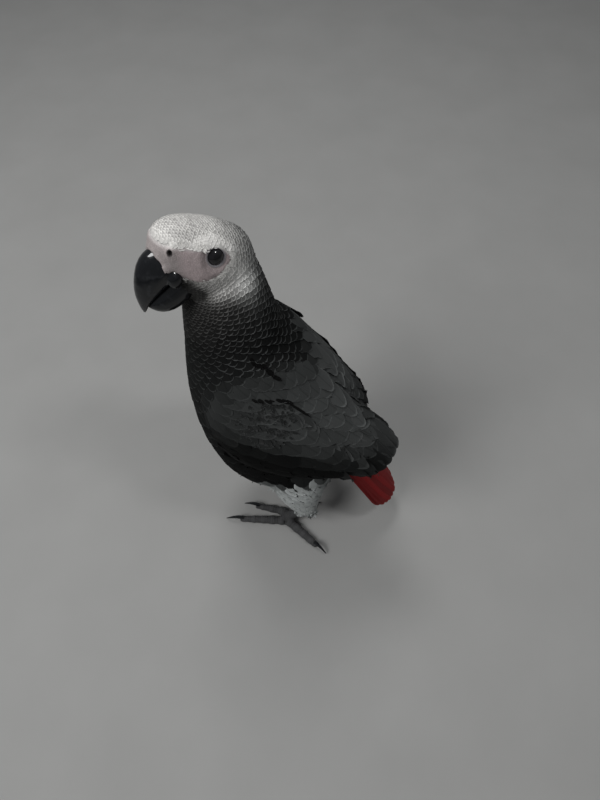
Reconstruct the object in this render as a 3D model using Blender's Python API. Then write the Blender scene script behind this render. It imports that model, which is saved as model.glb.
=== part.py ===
"""Grey parrot, a young bird standing upright on a floor with its head turned.

Frame: the bird faces -Y, its left side is +X, +Z is up and the soles are at z = 0.
Sizes are in millimetres in the tables below and become metres through MM.
Run with: blender --background --python part.py
"""
import math

import bmesh
import bpy
import numpy as np
from mathutils import Matrix, Vector

# ---------------------------------------------------------------- driving dimensions
MM = 0.001
GAP = 0.35 * MM                 # clearance between two solids that meet
OBJECT_NAME = "grey_parrot"

RING_POINTS = 26                # points round a body section
BODY_RINGS = 16                 # sections of neck and trunk
NECK_CUT_HEIGHT = 212.0         # where neck and trunk part, on the middle of the body
NECK_CUT_TILT = 24.0            # degrees, the cut leans forward
CAP_ANGLE = 50.0                # degrees, an edge steeper than this is shaded sharp

# Neck and trunk: height, breast line, back line, half width, sideways shift
BODY_STATIONS = (
    (46.0, -20.0, 0.0, 8.0, 0.0),
    (52.0, -41.0, 18.0, 25.0, 0.0),
    (66.0, -57.0, 37.0, 35.5, 0.0),
    (92.0, -67.5, 48.0, 39.5, 0.0),
    (125.0, -71.5, 47.0, 39.5, 0.0),
    (155.0, -71.0, 36.0, 38.0, 0.0),
    (185.0, -68.0, 13.0, 34.0, 0.0),
    (210.0, -65.0, -4.0, 28.0, -1.0),
    (232.0, -63.5, -11.0, 23.5, -3.5),
    (252.0, -60.0, -17.5, 20.5, -6.0),
)

# Folded wing: height, front edge, rear edge of the left and of the right wing, half width
# of the outer face, rear half gap. The right wing is held closer, its tip further in.
WING_STATIONS = (
    (103.0, -24.0, 48.0, 38.0, 42.0, 17.0),
    (110.0, -44.0, 71.0, 49.0, 45.0, 12.0),
    (120.0, -51.0, 78.0, 54.0, 47.0, 9.0),
    (132.0, -55.0, 75.0, 53.0, 47.5, 6.0),
    (150.0, -57.0, 52.0, 42.0, 47.0, 2.0),
    (170.0, -56.0, 31.0, 29.0, 45.0, 1.0),
    (190.0, -50.0, 13.0, 12.0, 40.0, 3.0),
    (203.0, -40.0, 2.0, 2.0, 34.0, 9.0),
    (209.0, -28.0, -8.0, -8.0, 30.0, 16.0),
)
WING_RINGS = 15
WING_ARC_POINTS = 13
WING_ROOT_DEPTH = 12.0          # how far the wing's blank reaches into the trunk
WING_WIDEST = 0.36              # share of the way from front edge to rear edge
WING_ARC = (-62.0, 90.0)        # degrees, from the front edge round to the rear edge
WING_THIN = 3.0                 # how far the inner face stops short of the outer one

TAIL_ROOT = (0.0, 38.0, 100.0)
TAIL_TIP = (0.0, 86.0, 24.0)
TAIL_ROOT_HALF = (17.0, 12.0)   # half width and half thickness
TAIL_TIP_HALF = (20.0, 1.6)
TAIL_RINGS = 9
TAIL_RING_POINTS = 20
TAIL_SHORTER_EDGE = 19.0        # how much shorter its outer feathers are
TAIL_ARCH = (-4.5, -5.0)        # sag of its edges, and of its root

STANCE_HALF = 33.0              # midline to the middle of a foot
THIGH_TOP = (20.0, 7.0, 94.0)
THIGH_TOP_HALF = (17.5, 30.0)   # half width and half depth
THIGH_END_HALF = (6.4, 9.0)
THIGH_BOW = (2.5, -3.0, -3.0)   # how far its middle stands out, ahead and down
THIGH_LEAN = 0.25               # how far its front hangs lower at the end
THIGH_RINGS = 9
ANKLE = (33.0, 15.0, 27.0)
FOOT_HEIGHT = 4.2
SOLE_SINK = 0.6                 # toe radius less the height of the toe's axis
TARSUS_TOP = (-2.0, -6.0, 7.0)  # from the ankle to its top, inside the thigh
TARSUS_FRONT = (0.0, -4.5, -0.6)
TARSUS_RADII = (2.8, 4.3, 3.4, 3.7, 4.8, 3.6)

# Toe number: start outward and ahead of the foot's middle, fleshy length, heading from
# straight ahead (+ is outward), radius
TOES = {
    1: (-2.6, -2.6, 19.0, 216.0, 3.4),
    2: (-4.2, 2.6, 27.0, -2.0, 3.6),
    3: (4.0, 2.6, 38.0, 8.0, 3.8),
    4: (4.2, -2.4, 31.0, 149.0, 4.1),
}
TOE_PADS = {1: 2, 2: 2, 3: 3, 4: 3}
TOE_RINGS = 8
TOE_TAPER = 0.30
CLAW_LENGTH = {1: 9.0, 2: 10.5, 3: 12.0, 4: 10.5}
CLAW_RADIUS = 1.7
CLAW_ROOT = 2.5                 # how far a claw starts inside its toe
CLAW_ARCH = 1.7                 # how high its back rises
CLAW_DROP = 3.4                 # how far its tip comes down
CLAW_RINGS = 6

HEAD_PLACE = (-6.0, -45.0, 262.0)
HEAD_TURN = 48.0                # degrees towards the left
HEAD_LIFT = 9.0                # degrees, bill up
HEAD_ROLL = -6.0                # degrees about the bill's direction
# Head: distance ahead of its middle, half width, crown line, throat line
HEAD_STATIONS = (
    (-26.5, 3.5, 1.0, -6.0),
    (-24.0, 10.2, 6.4, -14.0),
    (-17.0, 15.9, 11.8, -19.0),
    (-8.0, 19.2, 16.9, -22.5),
    (4.0, 20.2, 21.8, -23.5),
    (14.0, 18.6, 25.0, -22.0),
    (21.0, 15.0, 25.6, -12.0),
    (27.0, 11.6, 22.8, -1.0),
    (30.5, 8.4, 17.6, 3.0),
)
HEAD_RINGS = 12

# Upper bill: culmen ahead and up, cutting edge ahead and up, half width
UPPER_BILL = (
    (29.0, 13.0, 19.0, -1.5, 10.6),
    (35.0, 11.0, 24.0, -4.6, 10.6),
    (39.8, 6.5, 28.6, -8.0, 9.3),
    (42.8, -1.0, 32.4, -11.2, 7.4),
    (43.9, -9.0, 35.6, -14.6, 5.4),
    (43.1, -15.6, 37.8, -17.6, 3.5),
    (41.9, -20.4, 39.2, -20.6, 1.8),
    (40.9, -22.9, 39.9, -22.6, 0.7),
)
# Lower bill: distance ahead, half width, upper edge, lower edge
LOWER_BILL = (
    (12.0, 7.6, -4.6, -16.6),
    (17.0, 9.8, -2.4, -20.0),
    (23.0, 10.2, -1.6, -23.2),
    (29.0, 9.0, -6.4, -24.2),
    (34.5, 6.4, -12.0, -22.4),
    (38.2, 3.2, -16.2, -19.0),
)
BILL_POWER = (2.1, 3.2)         # how square its section is, over and under its middle
BILL_RIDGE = 0.30               # how much narrower the bill is at its ridge
CERE_PLACE = (27.5, 9.5)        # ahead, up
CERE_HALF = (10.4, 5.2, 7.8)    # across, along, up
EYE_PLACE = (13.5, 4.5, 7.5)    # out, ahead, up
EYE_RADIUS = 5.8


# ---------------------------------------------------------------- scene and materials
def clear_scene():
    for item in list(bpy.data.objects):
        bpy.data.objects.remove(item, do_unlink=True)
    for block in (bpy.data.meshes, bpy.data.curves, bpy.data.materials, bpy.data.collections):
        for item in list(block):
            block.remove(item)


def make_collection(name):
    collection = bpy.data.collections.new(name)
    bpy.context.scene.collection.children.link(collection)
    return collection


def make_material(name, color, roughness, metallic=0.0):
    material = bpy.data.materials.new(name)
    material.use_nodes = True
    shader = material.node_tree.nodes["Principled BSDF"]
    shader.inputs["Base Color"].default_value = (*color, 1.0)
    shader.inputs["Roughness"].default_value = roughness
    shader.inputs["Metallic"].default_value = metallic
    return material


# ---------------------------------------------------------------- shape helpers
def smooth_rows(rows, count):
    """Rows read off at even steps of their first column, through rounded curves."""
    table = np.array(rows, dtype=float)
    x, values = table[:, 0], table[:, 1:]
    slope = np.gradient(values, x, axis=0)
    steps = np.linspace(x[0], x[-1], count)
    place = np.clip(np.searchsorted(x, steps, side="right") - 1, 0, len(x) - 2)
    width = (x[place + 1] - x[place])[:, None]
    t = ((steps - x[place]) / (x[place + 1] - x[place]))[:, None]
    start, end = values[place], values[place + 1]
    out = ((2 * t**3 - 3 * t**2 + 1) * start + (t**3 - 2 * t**2 + t) * width * slope[place]
           + (3 * t**2 - 2 * t**3) * end + (t**3 - t**2) * width * slope[place + 1])
    return np.column_stack([steps, out])


def oval(angle, power):
    """A point of a rounded oval of unit half sizes; power 2 is an ellipse."""
    c, s = math.cos(angle), math.sin(angle)
    return (math.copysign(abs(c) ** (2 / power), c), math.copysign(abs(s) ** (2 / power), s))


def loft(name, rings, material, collection):
    """A closed body through rings of equal point counts, with a fan at each end."""
    mesh = bpy.data.meshes.new(name)
    bm = bmesh.new()
    rows = [[bm.verts.new(Vector(p) * MM) for p in ring] for ring in rings]
    count = len(rows[0])
    for low, high in zip(rows, rows[1:]):
        for i in range(count):
            j = (i + 1) % count
            bm.faces.new((low[i], low[j], high[j], high[i]))
    for row in (rows[0], rows[-1]):
        bm.faces.new(row)
    bmesh.ops.triangulate(bm, faces=bm.faces[:])
    bmesh.ops.recalc_face_normals(bm, faces=bm.faces[:])
    bm.to_mesh(mesh)
    bm.free()
    mesh.shade_smooth()
    mesh.materials.append(material)
    item = bpy.data.objects.new(name, mesh)
    collection.objects.link(item)
    return item


def from_evaluated(item, name):
    """A plain mesh object with the shape that the modifiers or the curve give."""
    bpy.context.view_layer.update()
    mesh = bpy.data.meshes.new_from_object(item.evaluated_get(bpy.context.evaluated_depsgraph_get()))
    mesh.name = name
    return mesh


def weld(mesh, distance=0.00002):
    bm = bmesh.new()
    bm.from_mesh(mesh)
    bmesh.ops.remove_doubles(bm, verts=bm.verts[:], dist=distance)
    bmesh.ops.triangulate(bm, faces=bm.faces[:])
    bmesh.ops.recalc_face_normals(bm, faces=bm.faces[:])
    bm.to_mesh(mesh)
    bm.free()


def grown_copy(item, gap):
    """A cutter: the same body, swollen by the clearance."""
    mesh = item.data.copy()
    bm = bmesh.new()
    bm.from_mesh(mesh)
    bm.normal_update()
    shifts = [(v, v.normal.copy()) for v in bm.verts]
    for vert, normal in shifts:
        vert.co += normal * gap
    bm.to_mesh(mesh)
    bm.free()
    cutter = bpy.data.objects.new(item.name + "_clearance", mesh)
    cutter.parent = item.parent
    cutter.matrix_world = item.matrix_world.copy()
    return cutter


def apply_boolean(item, cutter, operation):
    """Cut or join an object with another one and keep the outcome as its mesh."""
    modifier = item.modifiers.new(operation.lower(), "BOOLEAN")
    modifier.operation = operation
    modifier.solver = "EXACT"
    modifier.object = cutter
    mesh = from_evaluated(item, item.data.name)
    item.modifiers.clear()
    old = item.data
    item.data = mesh
    bpy.data.meshes.remove(old)
    weld(mesh)


def keep_main_body(item):
    """Drop the loose slivers that a cut can leave, and keep the largest body."""
    bm = bmesh.new()
    bm.from_mesh(item.data)
    left, bodies = set(bm.verts), []
    while left:
        body, waiting = set(), [next(iter(left))]
        while waiting:
            vert = waiting.pop()
            if vert not in body:
                body.add(vert)
                waiting.extend(edge.other_vert(vert) for edge in vert.link_edges)
        left -= body
        bodies.append(body)
    main_body = max(bodies, key=len)
    spare = [vert for body in bodies if body is not main_body for vert in body]
    bmesh.ops.delete(bm, geom=spare, context="VERTS")
    bm.to_mesh(item.data)
    bm.free()


def cut_clear(item, neighbours, cutters):
    """Take the neighbours, with their clearance, out of an object."""
    for neighbour in neighbours:
        cutter = grown_copy(neighbour, GAP)
        cutters.objects.link(cutter)
        cutter.hide_render = True
        cutter.display_type = "WIRE"
        apply_boolean(item, cutter, "DIFFERENCE")
        bpy.data.objects.remove(cutter, do_unlink=True)
    keep_main_body(item)


def tube(name, points, radii, material, collection, sides=3):
    """A round bar through points, with its own radius at each, as a mesh."""
    curve = bpy.data.curves.new(name, "CURVE")
    curve.dimensions = "3D"
    curve.bevel_depth = MM
    curve.bevel_resolution = sides
    curve.use_fill_caps = True
    spline = curve.splines.new("POLY")
    spline.points.add(len(points) - 1)
    for knot, place, radius in zip(spline.points, points, radii):
        knot.co = (*(Vector(place) * MM), 1.0)
        knot.radius = radius
    guide = bpy.data.objects.new(name + "_guide", curve)
    collection.objects.link(guide)
    mesh = from_evaluated(guide, name)
    bpy.data.objects.remove(guide, do_unlink=True)
    bpy.data.curves.remove(curve)
    weld(mesh)
    mesh.materials.clear()
    mesh.materials.append(material)
    item = bpy.data.objects.new(name, mesh)
    collection.objects.link(item)
    return item


def floor_cutter(cutters):
    """A block under the floor level, which gives feet their flat soles."""
    bpy.ops.mesh.primitive_cube_add(size=0.6, location=(0.0, 0.0, -0.3))
    block = bpy.context.object
    block.name = "floor_block"
    for holder in list(block.users_collection):
        holder.objects.unlink(block)
    cutters.objects.link(block)
    block.hide_render = True
    block.display_type = "WIRE"
    return block


# ---------------------------------------------------------------- body
def body_ring(row):
    height, front, back, half, shift = row
    middle, depth = (front + back) / 2, (back - front) / 2
    ring = []
    for i in range(RING_POINTS):
        c, s = oval(2 * math.pi * i / RING_POINTS, 2.15)
        ring.append((shift + half * c, middle + depth * s, height))
    return ring


def make_body(name, material, collection):
    rows = smooth_rows(BODY_STATIONS, BODY_RINGS)
    return loft(name, [body_ring(row) for row in rows], material, collection)


def keep_side(item, plane_point, plane_normal):
    """Cut an object with a plane, keep what lies on the normal's side, and close it."""
    bm = bmesh.new()
    bm.from_mesh(item.data)
    bmesh.ops.bisect_plane(bm, geom=bm.verts[:] + bm.edges[:] + bm.faces[:], dist=1e-7,
                           plane_co=plane_point, plane_no=plane_normal, clear_inner=True)
    rim = [edge for edge in bm.edges if edge.is_boundary]
    bmesh.ops.contextual_create(bm, geom=rim)
    bmesh.ops.triangulate(bm, faces=bm.faces[:])
    bmesh.ops.recalc_face_normals(bm, faces=bm.faces[:])
    bm.to_mesh(item.data)
    bm.free()
    item.data.set_sharp_from_angle(angle=math.radians(CAP_ANGLE))


def make_trunk_and_neck(materials, parts):
    trunk = make_body("trunk", materials["breast"], parts)
    neck = make_body("neck", materials["neck"], parts)
    tilt = math.radians(NECK_CUT_TILT)
    normal = Vector((0.0, -math.sin(tilt), math.cos(tilt)))
    middle = Vector((0.0, -36.0 * MM, NECK_CUT_HEIGHT * MM))
    keep_side(neck, middle + normal * GAP / 2, normal)
    keep_side(trunk, middle - normal * GAP / 2, -normal)
    return trunk, neck


def wing_ring(row, side):
    """One level section of a folded wing: an outer arc, and an inner one in the trunk."""
    height, front, left_rear, right_rear, half, slot = row
    rear = left_rear if side > 0 else right_rear
    widest = front + WING_WIDEST * (rear - front)
    outer, inner = [], []
    for i in range(WING_ARC_POINTS):
        t = i / (WING_ARC_POINTS - 1)
        c, s = oval(math.radians(WING_ARC[0] + (WING_ARC[1] - WING_ARC[0]) * t), 2.3)
        reach = (rear - widest) if s > 0 else (widest - front) / 0.9
        x = slot + (half - slot) * c
        outer.append((side * x, widest + reach * s, height))
        depth = WING_ROOT_DEPTH * math.sin(math.pi * min(1.0, 0.06 + t)) ** 0.5
        inset = max(0.0, x - depth)
        inner.append((side * max(slot * 0.6 + 0.4, inset), widest + (reach - WING_THIN) * s, height))
    return outer + inner[::-1]


def make_wing(side_name, side, trunk, tail, materials, parts, cutters):
    rows = smooth_rows(WING_STATIONS, WING_RINGS)
    wing = loft(side_name + "_wing", [wing_ring(row, side) for row in rows],
                materials["wing"], parts)
    cut_clear(wing, [trunk, tail], cutters)


def make_tail(materials, parts):
    """The tail fan: twelve feathers' ends round its tip, thin at the edge."""
    root, tip = Vector(TAIL_ROOT), Vector(TAIL_TIP)
    along = (tip - root).normalized()
    across = Vector((1.0, 0.0, 0.0))
    out = across.cross(along).normalized()
    rings = []
    for i in range(TAIL_RINGS):
        t = i / (TAIL_RINGS - 1)
        half = TAIL_ROOT_HALF[0] + (TAIL_TIP_HALF[0] - TAIL_ROOT_HALF[0]) * t
        thick = TAIL_ROOT_HALF[1] + (TAIL_TIP_HALF[1] - TAIL_ROOT_HALF[1]) * t ** 0.6
        ring = []
        for k in range(TAIL_RING_POINTS):
            c, s = oval(2 * math.pi * k / TAIL_RING_POINTS, 2.4)
            edge = abs(c)
            shorten = TAIL_SHORTER_EDGE * edge**2.5 * t
            arch = TAIL_ARCH[0] * edge**2 * (0.3 + 0.7 * t) + TAIL_ARCH[1] * (1.0 - t)
            centre = root + along * ((tip - root).length * t - shorten)
            ring.append(centre + across * half * c + out * (thick * s + arch))
        rings.append(ring)
    return loft("tail", rings, materials["tail"], parts)


# ---------------------------------------------------------------- legs and feet
def make_thigh(side_name, side, trunk, tarsus, materials, parts, cutters):
    top, end = Vector(THIGH_TOP), Vector(ANKLE)
    rings = []
    for i in range(THIGH_RINGS):
        t = i / (THIGH_RINGS - 1)
        centre = top.lerp(end, t) + Vector(THIGH_BOW) * math.sin(math.pi * t)
        wide = THIGH_TOP_HALF[0] + (THIGH_END_HALF[0] - THIGH_TOP_HALF[0]) * t**1.3
        deep = THIGH_TOP_HALF[1] + (THIGH_END_HALF[1] - THIGH_TOP_HALF[1]) * t**1.15
        ring = []
        for k in range(18):
            c, s = oval(2 * math.pi * k / 18, 2.0)
            lean = THIGH_LEAN * deep * s * t
            ring.append((side * (centre.x + wide * c), centre.y + deep * s, centre.z - lean))
        rings.append(ring)
    thigh = loft(side_name + "_thigh", rings, materials["thigh"], parts)
    cut_clear(thigh, [trunk, tarsus], cutters)


def foot_middle(side):
    return Vector((side * STANCE_HALF, 0.0, 0.0))


def make_tarsus(side_name, side, floor, materials, parts):
    foot = foot_middle(side) + Vector((0.0, 0.0, FOOT_HEIGHT))
    ankle = Vector((side * ANKLE[0], ANKLE[1], ANKLE[2]))
    top = ankle + Vector((side * TARSUS_TOP[0], TARSUS_TOP[1], TARSUS_TOP[2]))
    points = [top, ankle, ankle.lerp(foot, 0.45), ankle.lerp(foot, 0.8), foot,
              foot + Vector(TARSUS_FRONT)]
    tarsus = tube(side_name + "_tarsus", points, TARSUS_RADII, materials["foot"], parts, 2)
    apply_boolean(tarsus, floor, "DIFFERENCE")
    return tarsus


def toe_start(side, number):
    """Where a toe leaves the foot, and its direction on the floor."""
    outward, ahead, _, heading, _ = TOES[number]
    angle = math.radians(heading)
    place = foot_middle(side) + Vector((side * outward, -ahead, 0.0))
    return place, Vector((side * math.sin(angle), -math.cos(angle), 0.0))


def make_toe(side_name, side, number, floor, materials, parts):
    length, _, radius = TOES[number][2:]
    start, ahead = toe_start(side, number)
    points, radii = [], []
    for i in range(TOE_RINGS):
        t = i / (TOE_RINGS - 1)
        pad = 0.5 + 0.5 * math.cos(2 * math.pi * t * TOE_PADS[number])
        size = radius * (1.0 - TOE_TAPER * t) * (0.90 + 0.12 * pad)
        points.append(start + ahead * length * t + Vector((0, 0, size - SOLE_SINK)))
        radii.append(size)
    toe = tube(f"{side_name}_toe_{number}", points, radii, materials["foot"], parts, 2)
    apply_boolean(toe, floor, "DIFFERENCE")
    return toe


def make_claw(side_name, side, number, materials, parts):
    length, _, radius = TOES[number][2:]
    root, ahead = toe_start(side, number)
    reach = CLAW_LENGTH[number]
    start = root + ahead * (length - CLAW_ROOT)
    points, radii = [], []
    for i in range(CLAW_RINGS):
        t = i / (CLAW_RINGS - 1)
        arch = CLAW_ARCH * math.sin(math.pi * min(1.0, 0.15 + 0.75 * t))
        rise = radius + 1.0 + arch - CLAW_DROP * t**1.6
        size = CLAW_RADIUS * (1.0 - 0.80 * t**1.3)
        height = max(rise, size + GAP / MM)
        points.append(start + ahead * (reach + CLAW_ROOT) * t + Vector((0, 0, height)))
        radii.append(size)
    return tube(f"{side_name}_claw_{number}", points, radii, materials["claw"], parts, 2)


def make_leg(side_name, side, trunk, floor, materials, parts, cutters):
    tarsus = make_tarsus(side_name, side, floor, materials, parts)
    make_thigh(side_name, side, trunk, tarsus, materials, parts, cutters)
    done = [tarsus]
    for number in (3, 2, 4, 1):
        claw = make_claw(side_name, side, number, materials, parts)
        toe = make_toe(side_name, side, number, floor, materials, parts)
        cut_clear(toe, done + [claw], cutters)
        done.append(toe)


# ---------------------------------------------------------------- head
def head_frame(parts):
    """An empty in the middle of the head that faces along the bill."""
    frame = bpy.data.objects.new("head_frame", None)
    parts.objects.link(frame)
    turn = Matrix.Rotation(math.radians(HEAD_TURN), 4, "Z")
    lift = Matrix.Rotation(math.radians(-HEAD_LIFT), 4, "X")
    roll = Matrix.Rotation(math.radians(HEAD_ROLL), 4, "Y")
    frame.matrix_world = Matrix.Translation(Vector(HEAD_PLACE) * MM) @ turn @ lift @ roll
    bpy.context.view_layer.update()
    return frame


def attach(item, frame):
    item.parent = frame
    bpy.context.view_layer.update()
    return item


def level_ring(ahead, half, top, low, power, count):
    """An upright section across the head at a distance ahead of its middle."""
    middle, height = (top + low) / 2, (top - low) / 2
    ring = []
    for i in range(count):
        c, s = oval(2 * math.pi * i / count, power)
        ring.append((half * c, -ahead, middle + height * s))
    return ring


def make_head(frame, materials, parts):
    rows = smooth_rows(HEAD_STATIONS, HEAD_RINGS)
    rings = [level_ring(*row, 2.15, 22) for row in rows]
    return attach(loft("head", rings, materials["head"], parts), frame)


def make_upper_bill(frame, materials, parts):
    table = np.array([(i, *row) for i, row in enumerate(UPPER_BILL)], dtype=float)
    rings = []
    for _, ridge_ahead, ridge_up, edge_ahead, edge_up, half in smooth_rows(table, 14):
        ring = []
        for i in range(18):
            angle = 2 * math.pi * i / 18
            c, s = oval(angle, BILL_POWER[0] if math.sin(angle) > 0 else BILL_POWER[1])
            blend = (s + 1) / 2
            narrow = 1.0 - BILL_RIDGE * max(0.0, s)
            ahead = edge_ahead + (ridge_ahead - edge_ahead) * blend
            up = edge_up + (ridge_up - edge_up) * blend
            ring.append((half * c * narrow, -ahead, up))
        rings.append(ring)
    return attach(loft("upper_bill", rings, materials["bill"], parts), frame)


def make_lower_bill(frame, upper, materials, parts, cutters):
    rows = smooth_rows(LOWER_BILL, 10)
    rings = [level_ring(*row, 2.3, 18) for row in rows]
    lower = attach(loft("lower_bill", rings, materials["bill"], parts), frame)
    cut_clear(lower, [upper], cutters)
    return lower


def add_ball(name, centre, half, material, parts, frame, segments, rings):
    mesh = bpy.data.meshes.new(name)
    bm = bmesh.new()
    bmesh.ops.create_uvsphere(bm, u_segments=segments, v_segments=rings, radius=1.0)
    for vert in bm.verts:
        vert.co = Vector([(centre[k] + half[k] * vert.co[k]) * MM for k in range(3)])
    bmesh.ops.triangulate(bm, faces=bm.faces[:])
    bm.to_mesh(mesh)
    bm.free()
    mesh.shade_smooth()
    mesh.materials.append(material)
    item = bpy.data.objects.new(name, mesh)
    parts.objects.link(item)
    return attach(item, frame)


def make_head_group(neck, materials, parts, cutters):
    frame = head_frame(parts)
    eyes = []
    for side_name, side in (("left", 1), ("right", -1)):
        out, ahead, up = EYE_PLACE
        eyes.append(add_ball(side_name + "_eye", (side * out, -ahead, up), [EYE_RADIUS] * 3,
                             materials["eye"], parts, frame, 12, 8))
    upper = make_upper_bill(frame, materials, parts)
    lower = make_lower_bill(frame, upper, materials, parts, cutters)
    across, along, high = CERE_HALF
    cere = add_ball("cere", (0.0, -CERE_PLACE[0], CERE_PLACE[1]), (across, along, high),
                    materials["cere"], parts, frame, 14, 8)
    head = make_head(frame, materials, parts)
    cut_clear(neck, [head, lower], cutters)
    cut_clear(head, eyes + [cere, upper, lower], cutters)
    cut_clear(cere, [upper], cutters)


# ---------------------------------------------------------------- assembly
def make_materials():
    return {
        "head": make_material("pale_head_feather", (0.55, 0.55, 0.54), 0.85),
        "neck": make_material("scalloped_neck_feather", (0.13, 0.13, 0.135), 0.8),
        "breast": make_material("breast_feather", (0.09, 0.09, 0.095), 0.8),
        "wing": make_material("wing_feather", (0.075, 0.077, 0.08), 0.7),
        "tail": make_material("tail_feather", (0.40, 0.015, 0.02), 0.65),
        "thigh": make_material("thigh_feather", (0.34, 0.34, 0.34), 0.85),
        "foot": make_material("foot_scale", (0.06, 0.06, 0.06), 0.6),
        "claw": make_material("claw_horn", (0.02, 0.02, 0.02), 0.35),
        "bill": make_material("bill_horn", (0.012, 0.012, 0.013), 0.25),
        "cere": make_material("cere_skin", (0.55, 0.45, 0.44), 0.6),
        "eye": make_material("eye_dark", (0.01, 0.01, 0.014), 0.05),
    }


def centre_on_origin(parts):
    """Stand the bird with the middle of its outline box over the origin."""
    bpy.context.view_layer.update()
    corners = [item.matrix_world @ vert.co for item in parts.objects if item.type == "MESH"
               for vert in item.data.vertices]
    spans = np.array(corners)
    middle = (spans.min(axis=0) + spans.max(axis=0)) / 2
    shift = Vector((-middle[0], -middle[1], -spans[:, 2].min()))
    for item in parts.objects:
        if item.parent is None:
            item.location += shift


def main():
    clear_scene()
    parts = make_collection(OBJECT_NAME)
    cutters = make_collection("cutters")
    materials = make_materials()
    trunk, neck = make_trunk_and_neck(materials, parts)
    tail = make_tail(materials, parts)
    cut_clear(tail, [trunk], cutters)
    floor = floor_cutter(cutters)
    for side_name, side in (("left", 1), ("right", -1)):
        make_wing(side_name, side, trunk, tail, materials, parts, cutters)
        make_leg(side_name, side, trunk, floor, materials, parts, cutters)
    make_head_group(neck, materials, parts, cutters)
    bpy.data.objects.remove(floor, do_unlink=True)
    centre_on_origin(parts)


main()
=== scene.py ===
# %% [markdown]
# # A young grey parrot, feather by feather
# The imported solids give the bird's size, pose and outline. This lesson puts the looks round them:
# one skin for the flesh, glossy eyes and bill, scaly feet, and a coat of several thousand feathers
# that are real meshes. Lengths inside the script are millimetres, and meshes are made in metres.

# %% Load the fixed frame
import math

import bmesh
import bpy
import numpy as np
from mathutils import Matrix, Quaternion, Vector
from mathutils.bvhtree import BVHTree
from mathutils.kdtree import KDTree


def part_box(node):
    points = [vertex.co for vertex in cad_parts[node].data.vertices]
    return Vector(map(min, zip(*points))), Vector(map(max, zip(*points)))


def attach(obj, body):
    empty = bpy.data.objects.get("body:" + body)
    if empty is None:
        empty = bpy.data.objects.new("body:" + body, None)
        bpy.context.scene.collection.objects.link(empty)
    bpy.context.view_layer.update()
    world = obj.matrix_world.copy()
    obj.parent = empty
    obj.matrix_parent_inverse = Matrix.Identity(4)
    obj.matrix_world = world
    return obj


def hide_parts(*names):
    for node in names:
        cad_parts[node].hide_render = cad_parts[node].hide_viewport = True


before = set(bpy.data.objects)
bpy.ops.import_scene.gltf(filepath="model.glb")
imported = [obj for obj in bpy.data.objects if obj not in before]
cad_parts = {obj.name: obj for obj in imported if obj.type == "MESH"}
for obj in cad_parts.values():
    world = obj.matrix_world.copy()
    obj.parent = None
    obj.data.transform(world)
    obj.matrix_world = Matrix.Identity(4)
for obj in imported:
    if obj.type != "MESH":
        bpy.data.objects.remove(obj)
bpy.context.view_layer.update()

MM = 0.001
BODY = "root"
rng = np.random.default_rng(20)
SIDES = {"left": 1, "right": -1}


def centre(node):
    """The middle of a solid's box, in millimetres."""
    low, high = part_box(node)
    return (low + high) / 2 / MM


print("solids:", len(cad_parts), "head middle:", [round(v) for v in centre("head")])

# %% [markdown]
# ## The camera
# The bird is seen from its left, close, and from well above: the camera looks down at about 57
# degrees with a slightly wide lens, so the head looms and the feet fall away. Its place is told from
# the left shank, because the feet are what stands still.

# %% Camera
CAMERA_FROM_SHANK = Vector((182.3, 44.5, 460.4))
CAMERA_LOOK = Vector((-0.5334, -0.1141, -0.8381))
CAMERA_ROLL = math.radians(-1.07)
LENS = 26.01
FILM_LONG_SIDE = 36.0


def make_camera():
    data = bpy.data.cameras.new("camera")
    data.lens = LENS
    data.sensor_fit = "VERTICAL"
    data.sensor_height = FILM_LONG_SIDE
    data.clip_start = 0.01
    camera = bpy.data.objects.new("camera", data)
    bpy.context.scene.collection.objects.link(camera)
    camera.location = (centre("left_tarsus") + CAMERA_FROM_SHANK) * MM
    camera.rotation_mode = "QUATERNION"
    camera.rotation_quaternion = CAMERA_LOOK.to_track_quat("-Z", "Y") @ Quaternion((0, 0, 1), CAMERA_ROLL)
    bpy.context.scene.camera = camera
    return camera


camera = make_camera()
print("camera at", [round(v, 3) for v in camera.location])

# %% [markdown]
# ## The head's own directions
# Everything on the face is placed in the head's frame: x to the bird's left, -y ahead along the
# bill, z up. The two eyes fix its middle, and its turn, lift and roll are those of the solids.

# %% Head frame
HEAD_TURN, HEAD_LIFT, HEAD_ROLL = 48.0, 9.0, -6.0
EYE_OUT, EYE_AHEAD, EYE_UP = 13.5, 4.5, 7.5
EYE_MIDDLE = np.array([EYE_OUT, -EYE_AHEAD, EYE_UP])
EYE_RADIUS = 5.8

head_axes = (Matrix.Rotation(math.radians(HEAD_TURN), 3, "Z")
             @ Matrix.Rotation(math.radians(-HEAD_LIFT), 3, "X")
             @ Matrix.Rotation(math.radians(HEAD_ROLL), 3, "Y"))
between_eyes = (centre("left_eye") + centre("right_eye")) / 2
head_middle = between_eyes - head_axes @ Vector((0.0, -EYE_AHEAD, EYE_UP))
AXES = np.array(head_axes)


def to_head(points):
    """World millimetres to the head's frame."""
    return (np.asarray(points) - np.array(head_middle)) @ AXES


def from_head(points):
    return np.asarray(points) @ AXES.T + np.array(head_middle)


def to_half_head(points):
    """Head coordinates with the right side laid on the left."""
    local = to_head(points)
    local[:, 0] = np.abs(local[:, 0])
    return local


def on_side(vectors, side):
    """Vectors given for the left side, as they are on this side."""
    return vectors * np.array([side, 1.0, 1.0])


def step(low, high, values):
    """0 below low, 1 above high, and smooth between; low may be the larger one."""
    t = np.clip((values - low) / (high - low), 0.0, 1.0)
    return t * t * (3.0 - 2.0 * t)


def unit(vectors):
    return vectors / np.maximum(np.linalg.norm(vectors, axis=-1, keepdims=True), 1e-9)


print("head middle", [round(v, 1) for v in head_middle])

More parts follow.
